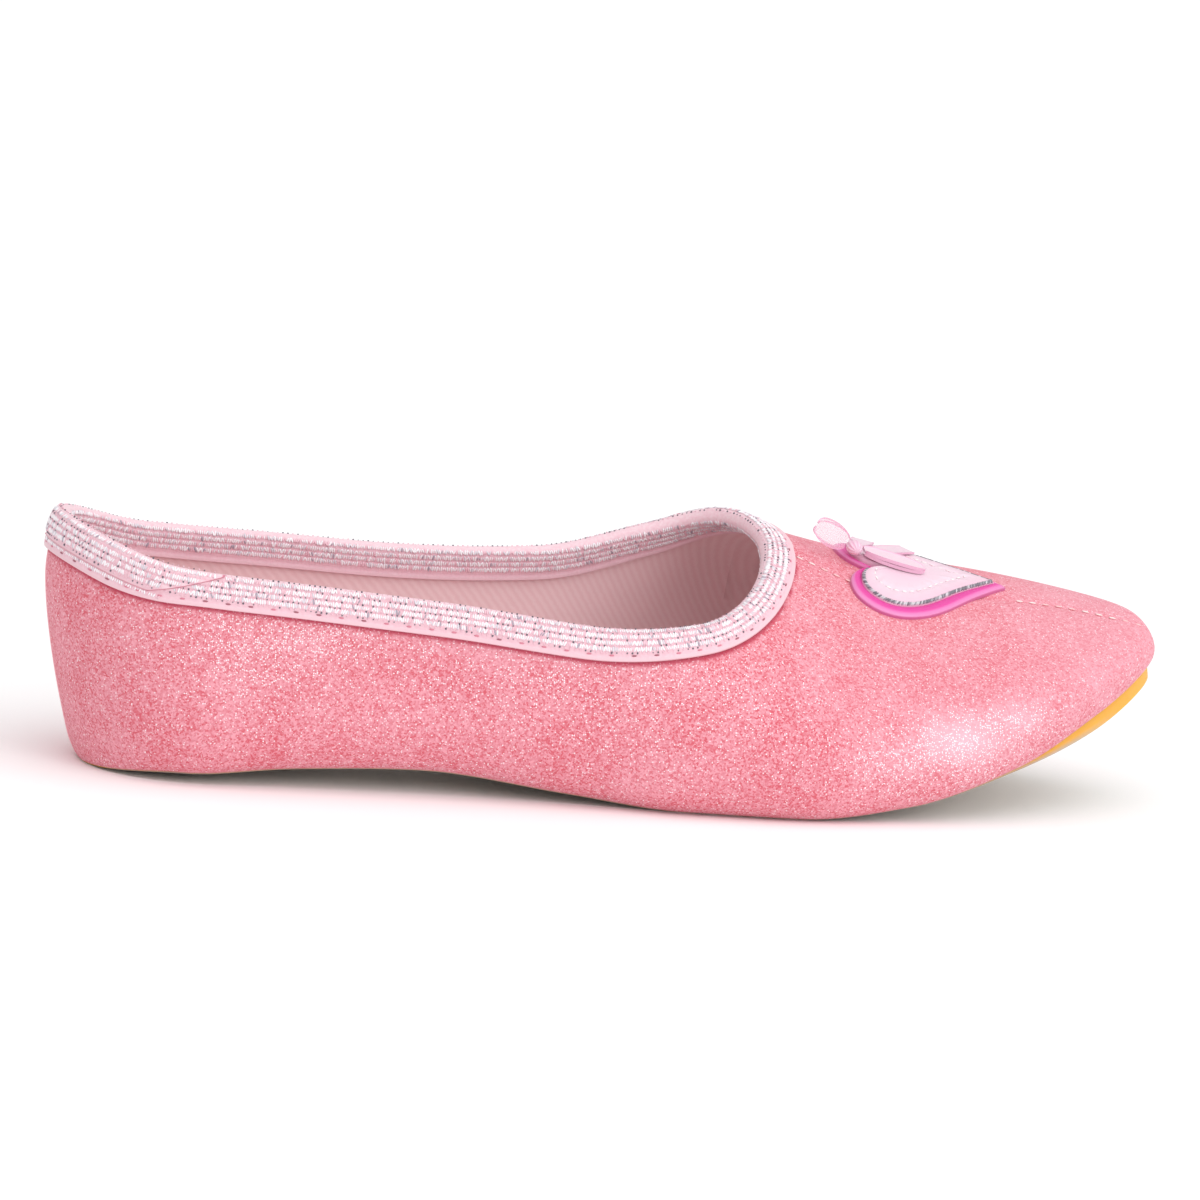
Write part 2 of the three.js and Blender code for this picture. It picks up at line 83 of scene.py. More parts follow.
# Value carried smoothly between the rows of a table, without overshoot
def smooth(places, values, at):
    slope = np.diff(values) / np.diff(places)
    product = slope[:-1] * slope[1:]
    total = np.where(product > 0, slope[:-1] + slope[1:], 1)
    bend = np.concatenate([slope[:1], np.where(product > 0, 2 * product / total, 0), slope[-1:]])
    i = np.clip(np.searchsorted(places, at) - 1, 0, len(places) - 2)
    span = places[i + 1] - places[i]
    t = np.clip((at - places[i]) / span, 0, 1)
    rest = t * t * (3 - 2 * t)
    start = bend[i] * span * t * (1 - t) ** 2
    end = bend[i + 1] * span * t * t * (t - 1)
    return values[i] * (1 - rest) + values[i + 1] * rest + start + end


def ease(value, low, high):
    t = np.clip((value - low) / (high - low), 0, 1)
    return t * t * (3 - 2 * t)


# All sizes of the last at one distance from the heel
def sizes(at):
    size = {name: smooth(sections[:, 0], sections[:, k], at) for k, name in enumerate(columns)}
    heel = np.maximum(0, 1 - at / last["heelRound"])
    toe = np.maximum(0, 1 - (last["length"] - at) / last["toeRound"])
    size["closing"] = np.sqrt(np.maximum(0, 1 - heel**2)) * np.sqrt(np.maximum(0, 1 - toe**2))
    return size


# Forward shift of a point low on the heel, backward shift of one high on the toe
def profileShift(at, height, foot, share):
    heelFade = np.maximum(0, 1 - at / last["heelReach"]) ** 2
    toeFade = np.maximum(0, 1 - (last["length"] - at) / last["toeReach"]) ** 2
    low = np.maximum(0, 1 - height / last["heelPlumb"])
    high = np.clip(height - last["heelPlumb"], 0, 12)
    corner = np.clip(1 - height / last["cornerRise"], 0, 1)
    sway = last["heelSway"] * low**1.5 + last["heelCurl"] * high**2
    roundOff = last["heelCorner"] * (1 - np.sqrt(1 - corner**2))
    nose = last["toeNose"] * (1 - np.sqrt(1 - np.clip(share, 0, 1) ** 2))
    lip = np.clip(1 - (height - foot) / last["lipRise"], 0, 1)
    tuck = last["toeTuck"] * (1 - np.sqrt(1 - lip**2))
    return (sway + roundOff) * heelFade - (nose + tuck) * toeFade


# One side of one section from the sole's edge to the centre line: points, unleaned heights, lengths
def sectionLine(at, side):
    size = sizes(at)
    half, lift = (size["lateral"], size["cup"]) if side < 0 else (size["medial"], size["arch"])
    foot = size["rise"] + size["edge"] + lift
    tall = size["ridge"] - foot
    low = np.linspace(0, np.pi / 2, 40, endpoint=False)
    high = np.linspace(0, np.pi / 2, 160)
    power = 2 / last["crownPower"]
    lowAcross = half - size["tuck"] * (1 - np.sin(low))
    lowHeight = foot + size["bulge"] * (1 - np.cos(low))
    highAcross = half * np.maximum(0, np.cos(high)) ** power
    highHeight = foot + size["bulge"] + (tall - size["bulge"]) * np.sin(high) ** power
    across = np.concatenate([lowAcross, highAcross])
    height = np.concatenate([lowHeight, highHeight])
    share = (height - foot) / tall
    y = side * across * size["closing"]
    x = at - last["length"] / 2 + profileShift(at, height, foot, share)
    points = np.stack([x, size["swing"] + y, height + size["lean"] * y * share], 1)
    steps = np.linalg.norm(np.diff(points, axis=0), axis=1)
    return points, height, np.concatenate([[0], np.cumsum(steps)])


def alongLine(points, lengths, wanted):
    return np.stack([np.interp(wanted, lengths, points[:, k]) for k in range(3)], -1)


# Distance from the heel at which the collar crosses the centre line
def throatFront():
    near, far = last["length"] / 2, last["length"] * 0.75
    for _ in range(40):
        middle = (near + far) / 2
        size = sizes(middle)
        near, far = (middle, far) if size["collar"] < size["ridge"] else (near, middle)
    return far


# Distances of the sections, closer together at heel, throat and toe
def stations(heelCount, bodyCount, toeCount):
    throat = throatFront()
    first = last["heelRound"] * 1.2
    heel = first * (np.arange(heelCount) / heelCount) ** 2
    body = first + (throat - first) * (1 - (1 - np.arange(bodyCount) / bodyCount) ** 1.7)
    toe = last["length"] - (last["length"] - throat) * np.linspace(1, 0, toeCount) ** 1.8
    return np.concatenate([heel, body, toe])


# Triangles over grids of points, with equal points made one; also the grid point each kept one came from
def weld(grids, closed=False):
    faces, start = [], 0
    for grid in grids:
        rows, cols = grid.shape[:2]
        index = np.arange(rows * cols).reshape(rows, cols) + start
        start += rows * cols
        if closed:
            index = np.vstack([index, index[:1]])
        corners = (index[:-1, :-1], index[1:, :-1], index[1:, 1:], index[:-1, 1:])
        a, b, c, d = (part.ravel() for part in corners)
        faces += [np.stack([a, b, c], 1), np.stack([a, c, d], 1)]
    points = np.concatenate([grid.reshape(-1, 3) for grid in grids])
    keys = np.round(points * 2000 + 0.137).astype(np.int64)
    _, first, inverse = np.unique(keys, axis=0, return_index=True, return_inverse=True)
    faces = inverse.reshape(-1)[np.concatenate(faces)]
    whole = (faces[:, 0] != faces[:, 1]) & (faces[:, 1] != faces[:, 2]) & (faces[:, 2] != faces[:, 0])
    return points[first], faces[whole], first


def outward(points, faces):
    p, q, r = (points[faces[:, k]] for k in range(3))
    normal = np.cross(q - p, r - p)
    total = np.zeros_like(points)
    for k in range(3):
        np.add.at(total, faces[:, k], normal)
    return total / np.maximum(1e-12, np.linalg.norm(total, axis=1, keepdims=True))


# Closed body between two skins of one layout
def between(inner, outer, faces):
    count = len(outer)
    edges = np.concatenate([faces[:, [0, 1]], faces[:, [1, 2]], faces[:, [2, 0]]])
    back = edges[:, 1] * count + edges[:, 0]
    a, b = edges[~np.isin(edges[:, 0] * count + edges[:, 1], back)].T
    rim = [np.stack([b, a, a + count], 1), np.stack([b, a + count, b + count], 1)]
    return np.concatenate([outer, inner]), np.concatenate([faces, faces[:, ::-1] + count, *rim])


# Place of the sole's heel end in this script's sizes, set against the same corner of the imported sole
def frameShift():
    size = sizes(0)
    x = last["gap"] - last["length"] / 2 + profileShift(0, size["edge"], size["edge"], 0)
    corner = min((vertex.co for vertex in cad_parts["outsole"].data.vertices), key=lambda co: co.x)
    return np.array([corner.x / mm - x, corner.y / mm, 0])


shift = frameShift()
print("last set on the frame, shift in mm", np.round(shift, 3))


def colour(hexValue, alpha=1):
    parts = [int(hexValue[i:i + 2], 16) / 255 for i in (1, 3, 5)]
    return [p / 12.92 if p <= 0.04045 else ((p + 0.055) / 1.055) ** 2.4 for p in parts] + [alpha]


# One node with its settings; an input is a value or another node's output
def addNode(tree, kind, inputs=None, **settings):
    made = tree.nodes.new(kind)
    for name, value in settings.items():
        setattr(made, name, value)
    for name, value in (inputs or {}).items():
        if isinstance(value, bpy.types.NodeSocket):
            tree.links.new(value, made.inputs[name])
        else:
            made.inputs[name].default_value = value
    return made


def newMaterial(name):
    material = bpy.data.materials.new(name)
    material.use_nodes = True
    material.node_tree.nodes.clear()
    return material, material.node_tree


# Glitter velour: short brushed pile printed with fine glossy flakes, matt depth under a sparkle that is
# partly painted:
# white flake colour laid where the light would strike, with broad painted highlights on the pile too;
# tufts and flakes are finer than the render shows, so both are drawn at about 0.3 mm
def glitterVelour():
    look = {
        "pile": "#E18B98",
        "deep": "#D7616F",
        "pale": "#EFA6B3",
        "brushed": "#E599A7",
        "paintedHighlight": "#F4BECB",
        # painted shadow below the elastic's hem
        "tuck": "#C2425A",
        "seam": "#F0A5B0",
        "flake": "#FDEEF4",
        "mottleMm": 9,
        "napMm": 1.6,
        "tuftMm": 0.3,
        "flakeMm": 0.32,
        "seamMm": (0.45, 0.75),
        "hemShadowMm": (0.35, 0.95),
        "toneRange": (0.68, 1.62),
        "pileTone": 0.45,
        # chance above which a cell is a flake, in shade and in full glint, and how softly it sets in
        "flakeLimit": (1.03, 0.42),
        "flakeFade": 0.22,
        "flakeRadius": 0.42,
    }
    material, tree = newMaterial("glitterVelour")
    place = addNode(tree, "ShaderNodeTexCoord").outputs["Object"]
    mottle = addNode(
        tree, "ShaderNodeTexNoise", {"Vector": place, "Scale": 1000 / look["mottleMm"], "Detail": 1.0},
    )
    nap = addNode(tree, "ShaderNodeTexNoise", {"Vector": place, "Scale": 1000 / look["napMm"], "Detail": 2.0})
    tufts = addNode(tree, "ShaderNodeTexVoronoi", {"Vector": place, "Scale": 1000 / look["tuftMm"]})
    chance = addNode(tree, "ShaderNodeSeparateColor", {"Color": tufts.outputs["Color"]})
    # tone of each tuft: its own chance, swayed by the nap and the mottle around it
    clouded = addNode(tree, "ShaderNodeMapRange", {"Value": mottle.outputs["Fac"], 3: 0.2, 4: 0.8})
    swayed = addNode(
        tree, "ShaderNodeMath", {0: nap.outputs["Fac"], 1: 0.3, 2: clouded.outputs[0]},
        operation="MULTIPLY_ADD",
    )
    tone = addNode(tree, "ShaderNodeMath", {0: chance.outputs[0], 1: swayed.outputs[0]}, operation="ADD")
    low, high = look["toneRange"]
    evened = addNode(tree, "ShaderNodeMapRange", {"Value": tone.outputs[0], 1: low, 2: high})
    body = addNode(tree, "ShaderNodeValToRGB", {"Fac": evened.outputs[0]})
    body.color_ramp.elements[0].color = colour(look["deep"])
    body.color_ramp.elements[1].color = colour(look["pale"])
    body.color_ramp.elements.new(look["pileTone"]).color = colour(look["pile"])
    # pile lying flat over the vamp and toe, paler and smoother
    flat = addNode(tree, "ShaderNodeAttribute", attribute_name="flat").outputs["Fac"]
    brushed = addNode(
        tree, "ShaderNodeMix", {0: flat, 6: body.outputs["Color"], 7: colour(look["brushed"])},
        data_type="RGBA",
    )
    # painted highlight: broad light lying on the pile, mixed in as a paler colour
    lit = addNode(tree, "ShaderNodeAttribute", attribute_name="paintedHighlight").outputs["Fac"]
    highlighted = addNode(
        tree, "ShaderNodeMix", {0: lit, 6: brushed.outputs[2], 7: colour(look["paintedHighlight"])}, data_type="RGBA",
    )
    # seam strip at the back, free of glitter
    seamGap = addNode(tree, "ShaderNodeAttribute", attribute_name="backSeam").outputs["Fac"]
    near, far = look["seamMm"]
    strip = addNode(tree, "ShaderNodeMapRange", {"Value": seamGap, 1: near, 2: far, 3: 1.0, 4: 0.0})
    cloth = addNode(
        tree, "ShaderNodeMix", {0: strip.outputs[0], 6: highlighted.outputs[2], 7: colour(look["seam"])},
        data_type="RGBA",
    )
    # painted shadow: a darker line just below the elastic's hem, where the band shades the pile
    hemGap = addNode(tree, "ShaderNodeAttribute", attribute_name="hemGap").outputs["Fac"]
    near, far = look["hemShadowMm"]
    hemShadowMask = addNode(tree, "ShaderNodeMapRange", {"Value": hemGap, 1: near, 2: far, 3: 0.8, 4: 0.0})
    shaded = addNode(
        tree, "ShaderNodeMix", {0: hemShadowMask.outputs[0], 6: cloth.outputs[2], 7: colour(look["tuck"])},
        data_type="RGBA",
    )
    # flakes: a share of the small cells, more of them where the light strikes; their white is a painted
    # glint, laid by the glint value
    flakes = addNode(tree, "ShaderNodeTexVoronoi", {"Vector": place, "Scale": 1000 / look["flakeMm"]})
    lot = addNode(tree, "ShaderNodeSeparateColor", {"Color": flakes.outputs["Color"]})
    glint = addNode(tree, "ShaderNodeAttribute", attribute_name="glint").outputs["Fac"]
    inShade, inGlint = look["flakeLimit"]
    limit = addNode(tree, "ShaderNodeMapRange", {"Value": glint, 3: inShade, 4: inGlint})
    start = addNode(
        tree, "ShaderNodeMath", {0: limit.outputs[0], 1: look["flakeFade"]}, operation="SUBTRACT",
    )
    chosen = addNode(
        tree, "ShaderNodeMapRange", {"Value": lot.outputs[0], 1: start.outputs[0], 2: limit.outputs[0]},
    )
    disc = addNode(
        tree, "ShaderNodeMath", {0: flakes.outputs["Distance"], 1: look["flakeRadius"]},
        operation="LESS_THAN",
    )
    # no flakes on the seam strip or in the painted shadow line
    dull = addNode(tree, "ShaderNodeMath", {0: strip.outputs[0], 1: hemShadowMask.outputs[0]}, operation="MAXIMUM")
    bare = addNode(tree, "ShaderNodeMath", {0: 1.0, 1: dull.outputs[0]}, operation="SUBTRACT")
    shown = addNode(tree, "ShaderNodeMath", {0: disc.outputs[0], 1: chosen.outputs[0]}, operation="MULTIPLY")
    mask = addNode(tree, "ShaderNodeMath", {0: shown.outputs[0], 1: bare.outputs[0]}, operation="MULTIPLY")
    sparkled = addNode(
        tree, "ShaderNodeMix", {0: mask.outputs[0], 6: shaded.outputs[2], 7: colour(look["flake"])},
        data_type="RGBA",
    )
    gloss = addNode(tree, "ShaderNodeMapRange", {"Value": mask.outputs[0], 3: 0.85, 4: 0.25})
    raised = addNode(
        tree, "ShaderNodeBump", {"Height": tufts.outputs["Distance"], "Strength": 0.3, "Distance": 0.1 * mm},
    )
    velour = addNode(
        tree, "ShaderNodeBsdfPrincipled",
        {
            "Base Color": sparkled.outputs[2], "Roughness": gloss.outputs[0], "Sheen Weight": 0.15,
            "Sheen Roughness": 0.45, "Sheen Tint": colour("#FFD9DE"), "Specular IOR Level": 0.25,
            "Normal": raised.outputs["Normal"],
        },
    )
    addNode(tree, "ShaderNodeOutputMaterial", {"Surface": velour.outputs["BSDF"]})
    return material


# Brushed cotton lining: soft, matt, with a twill too fine to show, drawn at 0.9 mm
def cottonLining():
    look = {"cotton": "#F2D3D5", "shade": "#EDC9CC", "twillMm": 0.9}
    material, tree = newMaterial("cottonLining")
    place = addNode(tree, "ShaderNodeTexCoord").outputs["Object"]
    twill = addNode(
        tree, "ShaderNodeTexWave",
        {
            "Vector": place, "Scale": math.pi / 10 / (look["twillMm"] * mm), "Distortion": 1.5,
            "Detail": 2.0, "Detail Scale": 4.0,
        },
        bands_direction="DIAGONAL",
    )
    dye = addNode(
        tree, "ShaderNodeMix", {0: twill.outputs["Fac"], 6: colour(look["shade"]), 7: colour(look["cotton"])},
        data_type="RGBA",
    )
    raised = addNode(
        tree, "ShaderNodeBump", {"Height": twill.outputs["Fac"], "Strength": 0.2, "Distance": 0.1 * mm},
    )
    cotton = addNode(
        tree, "ShaderNodeBsdfPrincipled",
        {
            "Base Color": dye.outputs[2], "Roughness": 0.9, "Sheen Weight": 0.2, "Specular IOR Level": 0.2,
            "Normal": raised.outputs["Normal"],
        },
    )
    addNode(tree, "ShaderNodeOutputMaterial", {"Surface": cotton.outputs["BSDF"]})
    return material


# Moulded gum rubber: warm amber, slightly see-through at the edge, fine pebbled skin
def gumRubber():
    look = {"gum": "#F7BC4B", "deep": "#EBA93F", "dusty": "#B9AFA5", "pebbleMm": 1.1, "cloudMm": 14}
    material, tree = newMaterial("gumRubber")
    place = addNode(tree, "ShaderNodeTexCoord").outputs["Object"]
    cloud = addNode(
        tree, "ShaderNodeTexNoise", {"Vector": place, "Scale": 1000 / look["cloudMm"], "Detail": 5.0},
    )
    pebble = addNode(tree, "ShaderNodeTexVoronoi", {"Vector": place, "Scale": 1000 / look["pebbleMm"]})
    dye = addNode(
        tree, "ShaderNodeMix", {0: cloud.outputs["Fac"], 6: colour(look["deep"]), 7: colour(look["gum"])},
        data_type="RGBA",
    )
    # underside dulled by the floor
    under = addNode(tree, "ShaderNodeAttribute", attribute_name="under").outputs["Fac"]
    worn = addNode(
        tree, "ShaderNodeMix", {0: under, 6: dye.outputs[2], 7: colour(look["dusty"])}, data_type="RGBA",
    )
    raised = addNode(
        tree, "ShaderNodeBump",
        {"Height": pebble.outputs["Distance"], "Strength": 0.35, "Distance": 0.15 * mm},
    )
    rubber = addNode(
        tree, "ShaderNodeBsdfPrincipled",
        {
            "Base Color": worn.outputs[2], "Roughness": 0.5, "IOR": 1.52, "Subsurface Weight": 0.15,
            "Subsurface Radius": (1.0, 0.5, 0.15), "Subsurface Scale": 1.2 * mm,
            "Normal": raised.outputs["Normal"],
        },
    )
    addNode(tree, "ShaderNodeOutputMaterial", {"Surface": rubber.outputs["BSDF"]})
    return material


# Knitted elastic: soft pink ribs with deeper lines where the rows sink between the rubber; its loops
# are finer than the render shows, so they are drawn at about half a millimetre
def knitElastic():
    look = {"knit": "#F3D5DD", "line": "#EBB6C4", "selvedge": "#EDC6CF", "lapShadow": "#CF7A8E", "loopMm": 0.55}
    material, tree = newMaterial("knitElastic")
    place = addNode(tree, "ShaderNodeTexCoord").outputs["Object"]
    sunk = addNode(tree, "ShaderNodeAttribute", attribute_name="sunk").outputs["Fac"]
    hem = addNode(tree, "ShaderNodeAttribute", attribute_name="hem").outputs["Fac"]
    loops = addNode(
        tree, "ShaderNodeTexNoise", {"Vector": place, "Scale": 1000 / look["loopMm"], "Detail": 2.0},
    )
    spread = addNode(
        tree, "ShaderNodeMapRange", {"Value": loops.outputs["Fac"], 1: 0.35, 2: 0.65, 3: 0.0, 4: 0.45},
    )
    uneven = addNode(
        tree, "ShaderNodeMix", {0: spread.outputs[0], 6: colour(look["knit"]), 7: colour(look["line"])},
        data_type="RGBA",
    )
    ribbed = addNode(
        tree, "ShaderNodeMix", {0: sunk, 6: uneven.outputs[2], 7: colour(look["line"])}, data_type="RGBA",
    )
    edged = addNode(
        tree, "ShaderNodeMix", {0: hem, 6: ribbed.outputs[2], 7: colour(look["selvedge"])}, data_type="RGBA",
    )
    # painted shadow along the lap's slanted end and lower edge, where it steps down onto the band
    lapShadow = addNode(tree, "ShaderNodeAttribute", attribute_name="lapShadow").outputs["Fac"]
    lapShaded = addNode(
        tree, "ShaderNodeMix", {0: lapShadow, 6: edged.outputs[2], 7: colour(look["lapShadow"])}, data_type="RGBA",
    )
    raised = addNode(
        tree, "ShaderNodeBump", {"Height": loops.outputs["Fac"], "Strength": 0.6, "Distance": 0.15 * mm},
    )
    knit = addNode(
        tree, "ShaderNodeBsdfPrincipled",
        {
            "Base Color": lapShaded.outputs[2], "Roughness": 0.65, "Sheen Weight": 0.25,
            "Specular IOR Level": 0.3, "Normal": raised.outputs["Normal"],
        },
    )
    addNode(tree, "ShaderNodeOutputMaterial", {"Surface": knit.outputs["BSDF"]})
    return material


# Sewing thread, spun or foil-wrapped: each stitch catches the light in its own way, so each has one
# tone of its own; tones are (share of the stitches, colour)
def threadMaterial(name, tones, metallic, roughness):
    material, tree = newMaterial(name)
    tone = addNode(tree, "ShaderNodeAttribute", attribute_name="tone").outputs["Fac"]
    ramp = addNode(tree, "ShaderNodeValToRGB", {"Fac": tone})
    ramp.color_ramp.interpolation = "CONSTANT"
    ramp.color_ramp.elements[0].color = colour(tones[0][1])
    ramp.color_ramp.elements.remove(ramp.color_ramp.elements[1])
    start = tones[0][0]
    for share, hexValue in tones[1:]:
        ramp.color_ramp.elements.new(start).color = colour(hexValue)
        start += share
    thread = addNode(
        tree, "ShaderNodeBsdfPrincipled",
        {
            "Base Color": ramp.outputs["Color"], "Metallic": metallic, "Roughness": roughness,
            "Sheen Weight": 0.15,
        },
    )
    addNode(tree, "ShaderNodeOutputMaterial", {"Surface": thread.outputs["BSDF"]})
    return material


# Woven satin: smooth float threads, so broad soft gloss; colours run from the middle to the rim, where they
# can hold painted highlight and shade of a rolled edge; the threads, too fine to show, are drawn at 0.35 mm
def satin(name, stops, flossMm=0.35, roughness=0.36):
    material, tree = newMaterial(name)
    place = addNode(tree, "ShaderNodeTexCoord").outputs["Object"]
    reach = addNode(tree, "ShaderNodeAttribute", attribute_name="reach").outputs["Fac"]
    ramp = addNode(tree, "ShaderNodeValToRGB", {"Fac": reach})
    ramp.color_ramp.elements[0].position = stops[0][0]
    ramp.color_ramp.elements[0].color = colour(stops[0][1])
    ramp.color_ramp.elements[1].position = stops[-1][0]
    ramp.color_ramp.elements[1].color = colour(stops[-1][1])
    for position, hexValue in stops[1:-1]:
        ramp.color_ramp.elements.new(position).color = colour(hexValue)
    floss = addNode(
        tree, "ShaderNodeTexNoise",
        {
            "Vector": addNode(tree, "ShaderNodeMapping", {"Vector": place, "Scale": (0.25, 1, 1)}).outputs[0],
            "Scale": 1000 / flossMm, "Detail": 2.0,
        },
    )
    raised = addNode(
        tree, "ShaderNodeBump", {"Height": floss.outputs["Fac"], "Strength": 0.3, "Distance": 0.06 * mm},
    )
    weave = addNode(
        tree, "ShaderNodeBsdfPrincipled",
        {
            "Base Color": ramp.outputs["Color"], "Roughness": roughness, "Anisotropic": 0.4,
            "Sheen Weight": 0.2, "Normal": raised.outputs["Normal"],
        },
    )
    addNode(tree, "ShaderNodeOutputMaterial", {"Surface": weave.outputs["BSDF"]})
    return material


# Organza: crisp sheer weave, see-through between its threads and denser at the woven edges; its
# threads are drawn at 0.42 mm, coarser than they are, so that they show
def organza():
    look = {"sheer": "#FFE2F0", "edge": "#F5A6CE", "threadMm": 0.42}
    material, tree = newMaterial("organza")
    spot = addNode(tree, "ShaderNodeTexCoord").outputs["UV"]
    edge = addNode(tree, "ShaderNodeAttribute", attribute_name="selvedge").outputs["Fac"]
    weave = addNode(
        tree, "ShaderNodeTexVoronoi", {"Vector": spot, "Scale": 1000 / look["threadMm"], "Randomness": 0.25},
        voronoi_dimensions="2D", distance="CHEBYCHEV",
    )
    holes = addNode(
        tree, "ShaderNodeMapRange", {"Value": weave.outputs["Distance"], 1: 0.2, 2: 0.45, 3: 0.06, 4: 0.28},
    )
    body = addNode(tree, "ShaderNodeAttribute", attribute_name="body").outputs["Fac"]
    filled = addNode(tree, "ShaderNodeMath", {0: holes.outputs[0], 1: body}, operation="MAXIMUM")
    dense = addNode(tree, "ShaderNodeMath", {0: filled.outputs[0], 1: edge}, operation="MAXIMUM")
    dye = addNode(
        tree, "ShaderNodeMix", {0: edge, 6: colour(look["sheer"]), 7: colour(look["edge"])}, data_type="RGBA",
    )
    woven = addNode(
        tree, "ShaderNodeBsdfPrincipled",
        {"Base Color": dye.outputs[2], "Roughness": 0.4, "Sheen Weight": 0.3},
    )
    through = addNode(tree, "ShaderNodeBsdfTranslucent", {"Color": dye.outputs[2]})
    thread = addNode(
        tree, "ShaderNodeMixShader", {0: 0.08, 1: woven.outputs["BSDF"], 2: through.outputs["BSDF"]},
    )
    gaps = addNode(tree, "ShaderNodeBsdfTransparent")
    sheer = addNode(
        tree, "ShaderNodeMixShader", {0: dense.outputs[0], 1: gaps.outputs["BSDF"], 2: thread.outputs[0]},
    )
    addNode(tree, "ShaderNodeOutputMaterial", {"Surface": sheer.outputs[0]})
    return material


finishes = {
    "velour": glitterVelour(),
    "lining": cottonLining(),
    "gum": gumRubber(),
    "knit": knitElastic(),
    "tinsel": threadMaterial(
        "tinselThread",
        ((0.14, "#F1C6D2"), (0.03, "#B3A7B5"), (0.17, "#E4DEE6"), (0.66, "#FBF6FA")), 0.1, 0.35,
    ),
    "tinselKnots": threadMaterial("darkTinselKnots", ((0.45, "#6A606D"), (0.55, "#EFC7D3")), 0.1, 0.4),
    "lockstitch": threadMaterial("pinkPolyesterThread", ((0.35, "#A8606F"), (0.65, "#DB8598")), 0.0, 0.5),
    "seamThread": threadMaterial("paleCottonThread", ((0.4, "#F6C4C6"), (0.6, "#FCE4E2")), 0.0, 0.6),
    "silver": threadMaterial(
        "silverTinselThread", ((0.45, "#827C86"), (0.35, "#A9A3AC"), (0.2, "#DAD6DC")), 0.2, 0.35,
    ),
    "whiteThread": threadMaterial("whiteFloss", ((0.6, "#FFF8F6"), (0.4, "#FDE9EC")), 0.0, 0.5),
    # bright satin: its own hot pink, then a paler band near the rim as a painted highlight on the rolled rim,
    # and a darker last stop as a painted shadow line at its outer edge
    "brightSatin": satin(
        "brightSatin",
        ((0.0, "#E23A9E"), (0.925, "#E23A9E"), (0.96, "#E67ABA"), (0.99, "#E88EC3"), (1.0, "#CC6399")),
    ),
    "paleSatin": satin("paleSatin", ((0.0, "#EDCBDB"), (0.7, "#EED2DF"), (1.0, "#E9BFD2"))),
    "organza": organza(),
}
print("finishes made")


# Plain mesh object at the origin, riding on the shoe; places in millimetres of the last
def makePiece(
    name, points, faces, materials, replaced=(), faceSlots=None, values=None, uv=None, sharp=60,
):
    mesh = bpy.data.meshes.new(name)
    mesh.from_pydata(((points + shift) * mm).tolist(), [], faces.tolist())
    for material in materials:
        mesh.materials.append(material)
    if faceSlots is not None:
        mesh.polygons.foreach_set("material_index", faceSlots.astype(np.int32))
    for label, numbers in (values or {}).items():
        mesh.attributes.new(label, "FLOAT", "POINT").data.foreach_set("value", numbers.astype(np.float32))
    if uv is not None:
        corners = np.empty(len(mesh.loops), dtype=np.int32)
        mesh.loops.foreach_get("vertex_index", corners)
        mesh.uv_layers.new(name="cloth").data.foreach_set("uv", uv[corners].astype(np.float32).ravel())
    mesh.shade_smooth()
    mesh.set_sharp_from_angle(angle=math.radians(sharp))
    return placePiece(name, mesh, replaced)


def placePiece(name, mesh, replaced=()):
    piece = bpy.data.objects.new(name, mesh)
    bpy.context.collection.objects.link(piece)
    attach(piece, "root")
    if replaced:
        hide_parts(*replaced)
    return piece


# Upper: one velour skin over the last, joined at the heel's back and along the middle of the vamp
upper = {
    "heelStations": 38,
    "bodyStations": 92,
    "toeStations": 64,
    "rows": 62,
    # middle seam of the vamp: distance from the heel, place across from the ridge
    "seamLine": (
        (132.7, -1.1), (140.6, -4.6), (174.2, -2.2), (182.2, -1.8), (187.2, -2.3), (191.6, -3.1),
        (196.2, -3.2),
    ),
    "seamSink": 0.25,
    "seamHalf": 0.9,
    "backRidge": 0.18,
    "backHalf": 0.7,
    # share of the pile that lies flat on the vamp, and of the painted highlight on the toe
    "flatMost": 0.28,
    "toePaintedHighlight": 0.22,
    # painted glints, where glitter would catch the light: side, distance from the heel, height, half length,
    # half height, amount
    "glints": (
        (-1, 156, 14, 10, 5.5, 1),
        (-1, 166, 18, 9, 4, 0.8),
        (-1, 146, 11, 9, 4.5, 0.75),
        (-1, 34, 27, 14, 11, 0.62),
        (-1, 46, 28, 9, 5, 0.72),
        (-1, 90, 24, 45, 10, 0.3),
        (-1, 100, 20, 70, 30, 0.12),
        (1, 150, 15, 16, 9, 0.6),
        (1, 40, 26, 22, 11, 0.4),
        (1, 100, 20, 90, 30, 0.14),
    ),
    # painted highlights of light lying broad on the pile, outer side: distance from the heel, height, half
    # sizes, amount
    "paintedHighlights": (
        (158, 15, 9, 4.5, 0.9), (168, 18.5, 8, 3, 0.6), (148, 12, 9, 4, 0.4), (36, 27, 16, 10, 0.12),
        (75, 30, 22, 5, 0.3),
    ),
    # soft troughs and ridges: side, distance from the heel, height, half length, half width, slope, rise
    "folds": (
        (-1, 24, 20, 16, 3.5, 0.5, -0.25),
        (-1, 38, 14, 18, 4, 0.2, -0.22),
        (-1, 60, 20, 15, 4, -0.3, -0.2),
        (-1, 84, 12, 20, 4, 0.1, 0.2),
        (-1, 118, 13, 16, 4, 0.25, -0.22),
        (-1, 146, 16, 18, 4, -0.2, 0.2),
        (-1, 158, 13, 15, 3, -0.35, -0.25),
        (-1, 178, 25, 10, 3, -0.5, -0.2),
        (1, 30, 18, 18, 4, 0.4, -0.25),
        (1, 66, 16, 18, 4, -0.2, -0.25),
        (1, 120, 15, 18, 4, 0.2, -0.22),
        (1, 156, 15, 16, 3.5, -0.3, -0.22),
    ),
}


